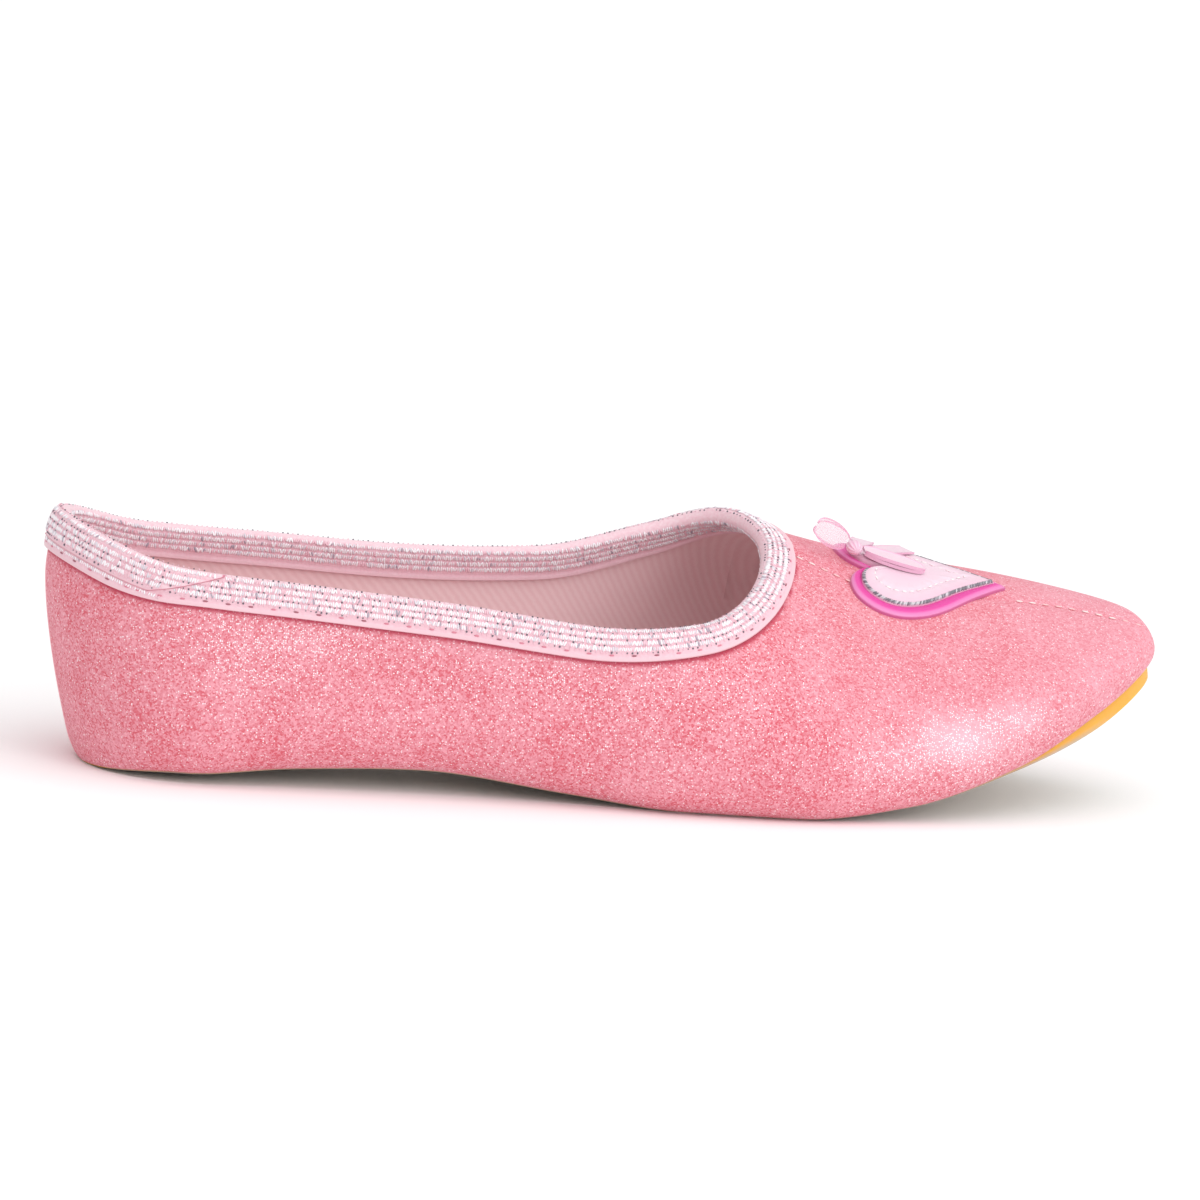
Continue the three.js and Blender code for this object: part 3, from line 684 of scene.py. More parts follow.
def buildUpper():
    throat = throatFront()
    places = stations(upper["heelStations"], upper["bodyStations"], upper["toeStations"])
    shares = np.linspace(0, 1, upper["rows"])
    grids, collars, notes = [], {}, []
    for side in (-1, 1):
        grid, collar = [], []
        for at in places:
            points, heights, lengths = sectionLine(at, side)
            top = np.interp(sizes(at)["collar"], heights, lengths) if at < throat else lengths[-1]
            row = alongLine(points, lengths, top * shares)
            grid.append(row)
            if at <= throat:
                collar.append(row[-1])
        grid = np.array(grid)
        note = np.stack([
            np.repeat(places[:, None], len(shares), 1),
            np.repeat(shares[None], len(places), 0),
            np.full(grid.shape[:2], side),
            grid[:, :, 1] - sizes(places)["swing"][:, None],
        ], -1)
        grids.append(grid if side < 0 else grid[::-1])
        notes.append(note if side < 0 else note[::-1])
        collars[side] = np.array(collar)
    points, faces, first = weld(grids)
    note = np.concatenate([part.reshape(-1, 4) for part in notes])[first]
    loop = np.concatenate([collars[-1], collars[1][1:-1][::-1]])
    return points, faces, note, loop


baseSkin, skinFaces, skinNote, collarLoop = buildUpper()
skinOut = outward(baseSkin, skinFaces)
skinTree = BVHTree.FromPolygons(baseSkin.tolist(), skinFaces.tolist())


# Nearest point of the upper's skin to a place, with the outward direction there
def drape(place):
    found, _, face, _ = skinTree.find_nearest(Vector(place))
    found = np.array(found)
    a, b, c = baseSkin[skinFaces[face]]
    whole = np.cross(b - a, c - a)
    size = whole @ whole
    weightA = np.cross(b - found, c - found) @ whole / size
    weightB = np.cross(c - found, a - found) @ whole / size
    weights = np.array([weightA, weightB, 1 - weightA - weightB])
    normal = weights @ skinOut[skinFaces[face]]
    return found, normal / np.linalg.norm(normal)


# Collar elastic: a knitted band folded over the edge, its ends lapped at the outer side of the heel
elastic = {
    "width": 5,
    "thick": 0.6,
    "columns": 460,
    "rowsFromTop": (0.62, 1.68, 2.74, 3.8),
    "rowHalf": 0.44,
    "looseFromTop": 4.4,
    "rowRise": 0.14,
    "sewnFromTop": 4.85,
    "sewnSink": 0.16,
    "foldDepth": 0.6,
    "foldPower": 2.4,
    "rowLift": 0.03,
    "lapStart": -7,
    "lapFull": 2,
    "lapEnd": 37.5,
    "lapSlant": 2.4,
    "lapDrop": 1.3,
    "lapStep": 0.35,
    "lapWidth": 5.3,
    "tinsel": {
        "pitch": 0.38, "length": 0.95, "width": 0.3, "height": 0.2, "turn": 90, "sway": 32, "vary": 0.3,
        "seed": 4,
    },
    "knots": {"pitch": 0.9, "length": 0.36, "width": 0.3, "height": 0.3, "turn": 90, "vary": 0.3, "seed": 8},
    "lapRow": {
        "pitch": 0.44, "length": 0.75, "width": 0.3, "height": 0.2, "turn": 90, "sway": 32, "vary": 0.3,
        "seed": 6,
    },
    "sewing": {"pitch": 3.9, "length": 1.0, "width": 0.34, "height": 0.26, "seed": 7},
}


# How far the lower layer of the lap hangs below the band, at a length round the collar
def lapDrop(gone, around):
    away = min(gone, abs(gone - around))
    if gone > around / 2:
        return elastic["lapDrop"] * float(ease(-away, -5, 0))
    return elastic["lapDrop"] * float(ease(elastic["lapEnd"] - gone, 0, elastic["lapEnd"] / 2))


# Distance of each skin point from the lower edge of the collar's elastic
def hemGap():
    loop = np.vstack([collarLoop, collarLoop[:1]])
    gone = np.concatenate([[0], np.cumsum(np.linalg.norm(np.diff(loop, axis=0), axis=1))])
    wanted = np.linspace(0, gone[-1], 900)
    fine = alongLine(loop, gone, wanted)
    hem = np.array([elastic["width"] + lapDrop(length, gone[-1]) for length in wanted])
    gaps = np.empty(len(baseSkin))
    batch = 400
    for start in range(0, len(baseSkin), batch):
        apart = np.linalg.norm(baseSkin[start:start + batch, None] - fine[None], axis=2)
        nearest = np.argmin(apart, axis=1)
        gaps[start:start + batch] = apart[np.arange(len(nearest)), nearest] - hem[nearest]
    return np.abs(gaps)


# Place of the vamp's seam across from the ridge, at a distance from the heel
def seamAcross(at):
    places, across = np.array(upper["seamLine"]).T
    return np.interp(at, places, across)


def dressUpper():
    at, share, side, across = skinNote.T
    throat = throatFront()
    rise = np.zeros(len(baseSkin))
    for foldSide, foldAt, height, halfLength, halfWidth, slope, depth in upper["folds"]:
        along = (at - foldAt) * math.cos(slope) + (baseSkin[:, 2] - height) * math.sin(slope)
        cross = (baseSkin[:, 2] - height) * math.cos(slope) - (at - foldAt) * math.sin(slope)
        bell = np.exp(-((along / halfLength) ** 2) - (cross / halfWidth) ** 2)
        rise += depth * bell * (side == foldSide) * ease(np.abs(across), 2, 6)
    rise *= ease(share, 0.02, 0.15) * np.where(at < throat, ease(1 - share, 0.08, 0.3), 1)
    vamp = at > throat + 1
    seamGap = across - seamAcross(at)
    trough = upper["seamSink"] * np.exp(-((seamGap / upper["seamHalf"]) ** 2))
    rise -= vamp * trough * ease(last["length"] - at, 1, 6)
    ridge = upper["backRidge"] * np.exp(-((across / upper["backHalf"]) ** 2))
    rise += (at < 6) * ridge * ease(share, 0, 0.1)
    outer = baseSkin + skinOut * rise[:, None]
    foot = share == 0
    lined = baseSkin - skinOut * last["wall"]
    lined[foot] = baseSkin[foot] + np.array([0, 0, last["wall"]])
    points, faces = between(lined, outer, skinFaces)
    slots = np.zeros(len(faces), dtype=int)
    slots[len(skinFaces):2 * len(skinFaces)] = 1
    backSeam = np.where(at < 12, np.abs(across), 9)
    # painted glints: flakes set where glitter would catch the light, fewer on faces turned up
    glint = np.zeros(len(baseSkin))
    for zoneSide, zoneAt, height, halfLength, halfHeight, amount in upper["glints"]:
        reach = ((at - zoneAt) / halfLength) ** 2 + ((baseSkin[:, 2] - height) / halfHeight) ** 2
        glint = np.maximum(glint, amount * np.exp(-reach) * (side == zoneSide))
    glint *= 1 - 0.7 * ease(skinOut[:, 2], 0.3, 0.8)
    flat = upper["flatMost"] * ease(at, 112, 150) * ease(skinOut[:, 2], 0.25, 0.85)
    # painted highlight: paler pile colour over the toe and in the listed zones on the outer side
    paintedHighlight = upper["toePaintedHighlight"] * ease(at, 165, 190)
    for zoneAt, height, halfLength, halfHeight, amount in upper["paintedHighlights"]:
        reach = ((at - zoneAt) / halfLength) ** 2 + ((baseSkin[:, 2] - height) / halfHeight) ** 2
        paintedHighlight = np.maximum(paintedHighlight, amount * np.exp(-reach) * (side < 0))
    values = {"backSeam": backSeam, "glint": glint, "flat": flat, "paintedHighlight": np.clip(paintedHighlight, 0, 1)}
    # distance from the elastic's hem, which places the painted shadow below it
    values["hemGap"] = hemGap()
    values = {name: np.tile(numbers, 2) for name, numbers in values.items()}
    makePiece(
        "upperVelour", points, faces, [finishes["velour"], finishes["lining"]], ["upper"],
        faceSlots=slots, values=values,
    )


dressUpper()
print("upper dressed")


# Sole and sock: layers across the open underside, from the same sections
bottom = {
    "stations": (40, 80, 60),
    "columns": 33,
    "sideRows": 5,
    "sideSwell": 0.18,
    "sockThick": 1.2,
    "sockGap": 0.05,
    "dust": 0.95,
}


def bottomLayer(inset, places, height):
    squeeze = (last["length"] - 2 * inset) / last["length"]
    size = sizes(places)
    foot = size["rise"] + size["edge"]
    x = inset + places * squeeze - last["length"] / 2 + profileShift(places, foot, foot, 0)
    share = np.linspace(-1, 1, bottom["columns"])[None]
    half = np.where(share < 0, size["lateral"][:, None], size["medial"][:, None])
    half = half - size["tuck"][:, None] - inset
    curl = np.maximum(0, (np.abs(share) - last["flatShare"]) / (1 - last["flatShare"])) ** 2
    lift = curl * np.where(share < 0, size["cup"][:, None], size["arch"][:, None])
    y = size["swing"][:, None] + share * half * size["closing"][:, None]
    z = size["rise"][:, None] + lift + height(size)[:, None]
    return np.stack([np.repeat(x[:, None], y.shape[1], 1), y, z], -1)


# One layer; insets and heights of its lower and upper skin; its upper side is faced with lining cotton
def makeLayer(name, insets, low, high, material, node):
    places = stations(*bottom["stations"])
    grids = [bottomLayer(insets[0], places, low)[:, ::-1], bottomLayer(insets[1], places, high)]
    sides = []
    for column in (0, -1):
        start, end = grids[0][:, -1 - column], grids[1][:, column]
        out = np.sign(start[:, 1] - grids[0][:, bottom["columns"] // 2, 1])[:, None] * np.array([0, 1, 0])
        rows = []
        for t in np.linspace(0, 1, bottom["sideRows"]):
            rows.append(start * (1 - t) + end * t + out * bottom["sideSwell"] * math.sin(math.pi * t))
        rows = np.stack(rows, 1)
        sides.append(rows if column == 0 else rows[:, ::-1])
    points, faces, _ = weld(grids + sides)
    under = bottom["dust"] * ease(-outward(points, faces)[:, 2], 0.25, 0.6)
    a, b, c = (points[faces[:, k]] for k in range(3))
    facing = np.cross(b - a, c - a)
    lined = (facing[:, 2] > 0.7 * np.linalg.norm(facing, axis=1)).astype(int)
    return makePiece(
        name, points, faces, [material, finishes["lining"]], [node], faceSlots=lined,
        values={"under": under}, sharp=40,
    )


def dressBottom():
    wall, gap = last["wall"], last["gap"]
    makeLayer(
        "gumSole", (gap, wall), lambda size: size["edge"] * 0, lambda size: size["edge"] + wall,
        finishes["gum"], "outsole",
    )
    inset = wall + bottom["sockGap"]
    top = wall + gap + bottom["sockThick"]
    makeLayer(
        "sockLining", (inset, inset), lambda size: size["edge"] + wall + gap,
        lambda size: size["edge"] + top, finishes["lining"], "insole",
    )


dressBottom()
print("sole and sock dressed")


# Row of stitches along a path lying on a surface, as a node tree with its sizes as inputs
def stitchTree():
    tree = bpy.data.node_groups.new("stitchRow", "GeometryNodeTree")
    tree.interface.new_socket("Path", in_out="INPUT", socket_type="NodeSocketGeometry")
    kinds = {
        "Pitch": "Float", "Length": "Float", "Width": "Float", "Height": "Float", "Turn": "Float",
        "Sway": "Float", "Vary": "Float", "Seed": "Int", "Thread": "Material",
    }
    keys = {}
    for name, kind in kinds.items():
        socket = tree.interface.new_socket(name, in_out="INPUT", socket_type="NodeSocket" + kind)
        keys[name] = socket.identifier
    tree.interface.new_socket("Stitches", in_out="OUTPUT", socket_type="NodeSocketGeometry")
    given = addNode(tree, "NodeGroupInput").outputs
    line = addNode(tree, "GeometryNodeMeshToCurve", {"Mesh": given["Path"]})
    spaced = addNode(
        tree, "GeometryNodeResampleCurve", {"Curve": line.outputs[0], "Length": given["Pitch"]},
        mode="LENGTH",
    )
    tangent = addNode(tree, "GeometryNodeInputTangent")
    up = addNode(tree, "GeometryNodeInputNamedAttribute", {"Name": "up"}, data_type="FLOAT_VECTOR")
    aimed = addNode(tree, "FunctionNodeAlignRotationToVector", {"Vector": tangent.outputs[0]}, axis="X")
    stood = addNode(
        tree, "FunctionNodeAlignRotationToVector",
        {"Rotation": aimed.outputs[0], "Vector": up.outputs["Attribute"]}, axis="Z", pivot_axis="X",
    )
    index = addNode(tree, "GeometryNodeInputIndex").outputs[0]
    other = addNode(tree, "ShaderNodeMath", {0: given["Seed"], 1: 50.0}, operation="ADD")
    swing = addNode(
        tree, "FunctionNodeRandomValue", {2: -1.0, 3: 1.0, "ID": index, "Seed": given["Seed"]},
        data_type="FLOAT",
    )
    growth = addNode(
        tree, "FunctionNodeRandomValue", {2: -1.0, 3: 1.0, "ID": index, "Seed": other.outputs[0]},
        data_type="FLOAT",
    )
    angle = addNode(
        tree, "ShaderNodeMath", {0: swing.outputs[1], 1: given["Sway"], 2: given["Turn"]},
        operation="MULTIPLY_ADD",
    )
    grown = addNode(
        tree, "ShaderNodeMath", {0: growth.outputs[1], 1: given["Vary"], 2: 1.0}, operation="MULTIPLY_ADD",
    )
    twist = addNode(tree, "ShaderNodeCombineXYZ", {"Z": angle.outputs[0]})
    spun = addNode(tree, "FunctionNodeEulerToRotation", {0: twist.outputs[0]})
    turned = addNode(
        tree, "FunctionNodeRotateRotation", {0: stood.outputs[0], 1: spun.outputs[0]}, rotation_space="LOCAL",
    )
    bead = addNode(tree, "GeometryNodeMeshUVSphere", {"Segments": 6, "Rings": 4, "Radius": 0.5})
    size = addNode(
        tree, "ShaderNodeCombineXYZ", {"X": given["Length"], "Y": given["Width"], "Z": given["Height"]},
    )
    stitch = addNode(
        tree, "GeometryNodeTransform", {"Geometry": bead.outputs["Mesh"], "Scale": size.outputs[0]},
    )
    sewn = addNode(
        tree, "GeometryNodeInstanceOnPoints",
        {
            "Points": spaced.outputs[0], "Instance": stitch.outputs[0], "Rotation": turned.outputs[0],
            "Scale": grown.outputs[0],
        },
    )
    tint = addNode(tree, "ShaderNodeMath", {0: given["Seed"], 1: 90.0}, operation="ADD")
    chance = addNode(
        tree, "FunctionNodeRandomValue", {"ID": index, "Seed": tint.outputs[0]}, data_type="FLOAT",
    )
    toned = addNode(
        tree, "GeometryNodeStoreNamedAttribute",
        {"Geometry": sewn.outputs[0], "Name": "tone", "Value": chance.outputs[1]},
        data_type="FLOAT", domain="INSTANCE",
    )
    real = addNode(tree, "GeometryNodeRealizeInstances", {"Geometry": toned.outputs[0]})
    soft = addNode(tree, "GeometryNodeSetShadeSmooth", {"Geometry": real.outputs[0]})
    dyed = addNode(
        tree, "GeometryNodeSetMaterial", {"Geometry": soft.outputs[0], "Material": given["Thread"]},
    )
    addNode(tree, "NodeGroupOutput", {"Stitches": dyed.outputs[0]})
    return tree, keys


stitchRow, stitchKeys = stitchTree()


# Stitches along paths of (points, outward directions) in millimetres, made one plain mesh
def sewRows(name, rows, stitch, thread):
    points, ups, edges, start = [], [], [], 0
    for path, up in rows:
        count = len(path)
        points.append((path + shift) * mm)
        ups.append(up)
        edges += [(start + i, start + i + 1) for i in range(count - 1)]
        start += count
    mesh = bpy.data.meshes.new(name + "Path")
    mesh.from_pydata(np.concatenate(points).tolist(), edges, [])
    field = mesh.attributes.new("up", "FLOAT_VECTOR", "POINT")
    field.data.foreach_set("vector", np.concatenate(ups).astype(np.float32).ravel())
    path = bpy.data.objects.new(name + "Path", mesh)
    bpy.context.collection.objects.link(path)
    sewing = path.modifiers.new("stitchRow", "NODES")
    sewing.node_group = stitchRow
    for label in ("Pitch", "Length", "Width", "Height"):
        sewing[stitchKeys[label]] = stitch[label.lower()] * mm
    sewing[stitchKeys["Turn"]] = math.radians(stitch.get("turn", 0))
    sewing[stitchKeys["Sway"]] = math.radians(stitch.get("sway", 0))
    sewing[stitchKeys["Vary"]] = float(stitch.get("vary", 0))
    sewing[stitchKeys["Seed"]] = stitch.get("seed", 1)
    sewing[stitchKeys["Thread"]] = thread
    graph = bpy.context.evaluated_depsgraph_get()
    sewn = bpy.data.meshes.new_from_object(path.evaluated_get(graph))
    sewn.name = name
    bpy.data.objects.remove(path)
    return placePiece(name, sewn)


# The collar as evenly spaced columns: edge, direction down the wall, outward, length gone, draped wall
def collarColumns():
    loop = np.vstack([collarLoop, collarLoop[:1]])
    gone = np.concatenate([[0], np.cumsum(np.linalg.norm(np.diff(loop, axis=0), axis=1))])
    around = gone[-1]
    wanted = np.linspace(0, around, elastic["columns"], endpoint=False)
    edge = alongLine(loop, gone, wanted)
    tangent = np.roll(edge, -3, 0) - np.roll(edge, 3, 0)
    tangent /= np.linalg.norm(tangent, axis=1, keepdims=True)
    normal = np.array([drape(point)[1] for point in edge])
    down = np.cross(tangent, normal)
    down /= np.linalg.norm(down, axis=1, keepdims=True)
    depths = np.linspace(0, 8, 17)
    wall = [[drape(point + way * depth) for depth in depths] for point, way in zip(edge, down)]
    return {
        "edge": edge, "down": down, "normal": normal, "gone": wanted, "around": around, "depths": depths,
        "points": np.array([[spot[0] for spot in row] for row in wall]),
        "normals": np.array([[spot[1] for spot in row] for row in wall]),
    }


collar = collarColumns()


# Point of column i at a depth below the collar edge and a distance out of the skin, with its direction
def collarSpot(i, depth, out):
    if depth < 0:
        point, normal = collar["edge"][i] + collar["down"][i] * depth, collar["normal"][i]
    else:
        point = alongLine(collar["points"][i], collar["depths"], depth)
        normal = alongLine(collar["normals"][i], collar["depths"], depth)
        normal = normal / np.linalg.norm(normal)
    return point + normal * out, normal


# Relief of the knit at a depth from the fold's top
def knitRelief(fromTop):
    rise = -elastic["sewnSink"] * math.exp(-(((fromTop - elastic["sewnFromTop"]) / 0.35) ** 2))
    for row in elastic["rowsFromTop"]:
        rise += elastic["rowRise"] * math.exp(-(((fromTop - row) / elastic["rowHalf"]) ** 4))
    return rise


# Lines where the rows sink, and the thin pale selvedge, as values for the finish
def knitTone(fromTop, width):
    inRow = max(math.exp(-(((fromTop - row) / elastic["rowHalf"]) ** 4)) for row in elastic["rowsFromTop"])
    sunk = (1 - inRow) * float(ease(fromTop, 0.3, 0.7)) * float(ease(width - 0.55 - fromTop, 0, 0.3))
    sunk *= 1 - 0.55 * float(ease(fromTop, elastic["looseFromTop"] - 0.3, elastic["looseFromTop"]))
    return sunk, float(ease(fromTop - width, -0.75, -0.55))


# Place and outward direction on the band's face, at a depth from the fold's top
def bandSpot(i, fromTop, lift, inside=False):
    shell = last["gap"] + elastic["thick"]
    half = last["wall"] / 2
    fold, power = elastic["foldDepth"], elastic["foldPower"]
    way = -1 if inside else 1

    def face(column, level):
        depth = level - shell
        over = min(1, max(0, (fold - depth) / (fold + shell)))
        bulge = math.sqrt(1 - over**power) ** (2 / power)
        return collarSpot(column, depth, -half + way * bulge * (half + shell + knitRelief(level)))[0]

    count = elastic["columns"]
    along = face((i + 1) % count, fromTop) - face(i - 1, fromTop)
    normal = np.cross(face(i, fromTop + 0.25) - face(i, fromTop - 0.25), along) * way
    normal /= np.linalg.norm(normal)
    return face(i, fromTop) + normal * lift, normal


def dressElastic():
    wall, gap = last["wall"], last["gap"]
    shell = gap + elastic["thick"]
    fold, power = elastic["foldDepth"], elastic["foldPower"]
    grid, sunk, hem = [], [], []
    turns = np.linspace(0, math.pi, 15)
    for i in range(elastic["columns"]):
        width = elastic["width"] + lapDrop(collar["gone"][i], collar["around"])
        face = np.linspace(width - 0.12, fold, 44)
        section = [(width - 0.06, gap + 0.15), (width, gap + 0.32)]
        section += [(depth, shell + knitRelief(depth + shell)) for depth in face]
        for turn in turns[1:-1]:
            over = abs(math.sin(turn)) ** (2 / power)
            out = math.copysign(abs(math.cos(turn)) ** (2 / power), math.cos(turn))
            section.append((fold - (fold + shell) * over, -wall / 2 + (wall / 2 + shell) * out))
        section += [(depth, -wall - shell - 0.6 * knitRelief(depth + shell)) for depth in face[::-1]]
        section += [(width, -wall - gap - 0.3), (width - 0.06, -wall - gap - 0.1)]
        # inner faces, close along the wall and its edge
        near = gap * 0.3
        section += [(width * 0.55, -wall - near), (-near, -wall - near), (-near, near), (width * 0.55, near)]
        section.append(section[0])
        grid.append([collarSpot(i, depth, out)[0] for depth, out in section])
        tones = [knitTone(depth + shell, width + shell) for depth, _ in section]
        sunk.append([tone[0] for tone in tones])
        hem.append([tone[1] for tone in tones])
    points, faces, first = weld([np.array(grid)], closed=True)
    values = {"sunk": np.array(sunk).ravel()[first], "hem": np.array(hem).ravel()[first]}
    makePiece(
        "collarElastic", points, faces, [finishes["knit"]], ["collar_elastic"], values=values,
    )


# Length from the heel's back at which the lap's slanted end lies, at a depth below the collar edge
def lapEnd(depth):
    return elastic["lapEnd"] - elastic["lapSlant"] * max(depth, -0.5)


# Share of the lap's height that it has gained at a length from the heel's back
def lapRise(gone):
    return float(ease(gone, elastic["lapStart"], elastic["lapFull"]))


# Upper layer of the lap: a strip from the heel to a slanted end, lying on the band
def dressLap():
    shell = last["gap"] + elastic["thick"]
    depths = np.linspace(-shell, elastic["lapWidth"] - shell, 34)
    start = elastic["lapStart"]
    low, high, shades = [], [], []
    for step in np.concatenate([np.linspace(0, 0.97, 84), np.linspace(0.974, 1, 8)]):
        lowRow, highRow, tones = [], [], []
        for depth in depths:
            end = lapEnd(depth)
            gone = start + (end - start) * step
            fromTop, fromHem, fromEnd = depth - depths[0], depths[-1] - depth, end - gone
            edge = min(1, fromTop / 0.4 + 0.25, fromHem / 0.35 + 0.3, fromEnd / 0.5 + 0.3)
            rise = elastic["lapStep"] * edge * lapRise(gone)
            column = gone / collar["around"] * elastic["columns"]
            below = int(math.floor(column))
            part = column - below
            rowRelief = shell + knitRelief(depth + shell)
            out = rowRelief if depth > 0.2 else shell * (0.75 + 0.25 * (depth + shell) / (shell + 0.2))
            spots = []
            for level in (out - 0.12, out + rise):
                here, _ = collarSpot(below % elastic["columns"], depth, level)
                ahead, _ = collarSpot((below + 1) % elastic["columns"], depth, level)
                spots.append(here * (1 - part) + ahead * part)
            lowRow.append(spots[0])
            highRow.append(spots[1])
            # painted shadow along the lap's slanted end and lower edge
            lapShaded = max(float(ease(-fromEnd, -0.5, -0.3)), 0.7 * float(ease(-fromHem, -0.3, -0.1)))
            tones.append((*knitTone(depth + shell, elastic["lapWidth"] + 0.3), lapShaded))
        low.append(lowRow[::-1])
        high.append(highRow[::-1])
        shades.append(tones[::-1])
    outer, faces, first = weld([np.array(high)])
    inner = np.array(low).reshape(-1, 3)[first]
    points, faces = between(inner, outer, faces)
    shades = np.tile(np.array(shades).reshape(-1, 3)[first], (2, 1))
    values = {"sunk": shades[:, 0], "hem": shades[:, 1], "lapShadow": shades[:, 2]}
    makePiece("elasticLap", points, faces, [finishes["knit"]], values=values)


# Share of the lap's full height at a length from the heel's back: none past its slanted end
def lapShare(gone, depth):
    if gone > collar["around"] / 2:
        return lapRise(gone - collar["around"])
    return 0 if gone > lapEnd(depth) else lapRise(gone)


def dressCollar():
    dressElastic()
    dressLap()
    shell = last["gap"] + elastic["thick"]
    count = elastic["columns"]
    lift = elastic["rowLift"]
    outside, inside, knots = [], [], []
    drops = [lapDrop(gone, collar["around"]) for gone in collar["gone"]]

    # one row round the collar, at depths from the fold's top given for each column
    def rowAt(depthOf, within=False):
        first = int(np.searchsorted(collar["gone"], lapEnd(depthOf(0) - shell) + 0.3))
        order = [*range(count), 0] if within else [*range(first, count), *range(first - 2)]
        spots = []
        for i in order:
            fromTop = depthOf(i)
            beside = within or fromTop > elastic["lapWidth"]
            onLap = 0 if beside else lapShare(collar["gone"][i], fromTop - shell)
            spots.append(bandSpot(i, fromTop, elastic["lapStep"] * onLap + lift, within))
        return tuple(np.array(part) for part in zip(*spots))

    for fromTop in elastic["rowsFromTop"]:
        outside.append(rowAt(lambda i: fromTop))
        inside.append(rowAt(lambda i: fromTop, True))
        knots.append(rowAt(lambda i: fromTop - 0.5))
    knots.append(rowAt(lambda i: elastic["looseFromTop"]))
    sewing = rowAt(lambda i: elastic["sewnFromTop"] + drops[i])
    lapped = [i for i in range(count) if drops[i] > 0.5 and collar["gone"][i] < collar["around"] / 2]
    spots = [bandSpot(i, elastic["lapWidth"] + 0.35, lift) for i in lapped]
    lapRow = tuple(np.array(part) for part in zip(*spots))
    sewRows("elasticTinsel", outside, elastic["tinsel"], finishes["tinsel"])
    sewRows("elasticTinselInside", inside, elastic["tinsel"], finishes["tinsel"])
    sewRows("elasticTinselKnots", knots, elastic["knots"], finishes["tinselKnots"])
    sewRows("elasticLapRow", [lapRow], elastic["lapRow"], finishes["tinsel"])
    sewRows("elasticSewing", [sewing], elastic["sewing"], finishes["lockstitch"])


dressCollar()
print("collar dressed")


# Hearts on the vamp: a satin backing with a rolled rim, and a smaller filled heart sewn on it
hearts = {
    "outline": (
        (0, 0), (-3, 2.4), (-4.2, 5.6), (-3.6, 9.3), (-0.8, 12.2), (3.2, 13.4), (8, 12.6), (13, 10),
        (19.5, 5), (26.5, 0),
    ),
    "notch": 145.2,
    "middle": 6,
    "turn": 0.04,
    "patchInset": 2.4,
    "reach": (0, 0.4, 0.72, 0.9, 1),
    "backing": (0.45, 0.45, 0.45, 0.8, 0.6),
    "patch": (0.8, 0.8, 0.8, 0.7, 0.4),
    "patchBase": 1.1,
    "rays": 240,
    "rings": 34,
    "quiltAt": 0.68,
    "pucker": 0.07,
    "bowAt": (0, 2.8),
    "bowReach": 4.6,
    "zigzagAt": 0.975,
    "zigzagLean": 0.8,
    "quiltSink": 0.22,
    "zigzag": {
        "pitch": 0.36, "length": 0.95, "width": 0.34, "height": 0.3, "turn": 55, "sway": 12, "seed": 3,
    },
    "quilting": {"pitch": 1.5, "length": 1.15, "width": 0.3, "height": 0.22, "seed": 5},
}


# Frame on the vamp: the skin at a place measured toe-ward and across from the heart's notch
def vampFrame():
    start, end = (sectionLine(hearts["notch"] + step, -1)[0][-1] for step in (0, 25))
    up = drape(start * 0.7 + end * 0.3)[1]
    along = Vector((end - start) / np.linalg.norm(end - start))
    along = np.array(Matrix.Rotation(hearts["turn"], 3, Vector(up)) @ along)
    across = np.cross(up, along)
    across /= np.linalg.norm(across)
    return lambda a, c: drape(start + along * a + across * c)


onVamp = vampFrame()


# Smooth curve through points, evenly spaced along its length
def curveThrough(points, count):
    points = np.array(points, dtype=float)
    padded = np.vstack([points[:1], points, points[-1:]])
    t = np.linspace(0, 1, 24, endpoint=False)[:, None]
    parts = []
    for p0, p1, p2, p3 in zip(padded, padded[1:], padded[2:], padded[3:]):
        v0, v1 = (p2 - p0) / 2, (p3 - p1) / 2
        cubic = 2 * p1 - 2 * p2 + v0 + v1
        square = 3 * p2 - 3 * p1 - 2 * v0 - v1
        parts.append(cubic * t**3 + square * t**2 + v0 * t + p1)
    line = np.vstack([*parts, points[-1:]])
    gone = np.concatenate([[0], np.cumsum(np.linalg.norm(np.diff(line, axis=0), axis=1))])
    wanted = np.linspace(0, gone[-1], count)
    return np.stack([np.interp(wanted, gone, line[:, k]) for k in range(line.shape[1])], 1)


# Rays from the heart's middle to its outline, drawn in by an inset
def heartRays(inset):
    near = curveThrough(hearts["outline"], hearts["rays"] // 2 + 1)
    outline = np.vstack([near, near[1:-1][::-1] * (1, -1)])
    rays = outline - (hearts["middle"], 0)
    length = np.linalg.norm(rays, axis=1, keepdims=True)
    return rays * (length - inset) / length


# Height of a heart at a share of the way to its edge, rounded off at the rim
def heartHeight(column, reach, base):
    height = smooth(np.array(hearts["reach"]), np.array(hearts[column]), reach)
    rim = np.sqrt(np.maximum(0, 1 - np.maximum(0, (reach - 0.93) / 0.07) ** 2))
    return base + height * (0.15 + 0.85 * rim)


def makeHeart(name, inset, base, sink, column, material, node, quilt):
    rays = heartRays(inset)
    reach = np.sin(np.linspace(0, math.pi / 2, hearts["rings"])) ** 0.9
    low, high = [], []
    for i, ray in enumerate([*rays, rays[0]]):
        spots = [onVamp(hearts["middle"] + ray[0] * r, ray[1] * r) for r in reach]
        tops = heartHeight(column, reach, base) + quilt(reach, 2 * math.pi * i / len(rays))
        high.append([spot + normal * top for (spot, normal), top in zip(spots, tops)])
        low.append([spot + normal * sink for spot, normal in spots])
    outer, faces, first = weld([np.array(high)])
    inner = np.array(low).reshape(-1, 3)[first]
    points, faces = between(inner, outer, faces)
    reaches = np.tile(reach, len(rays) + 1)[first]
    return makePiece(
        name, points, faces, [material], [node], values={"reach": np.tile(reaches, 2)}, sharp=80,
    )


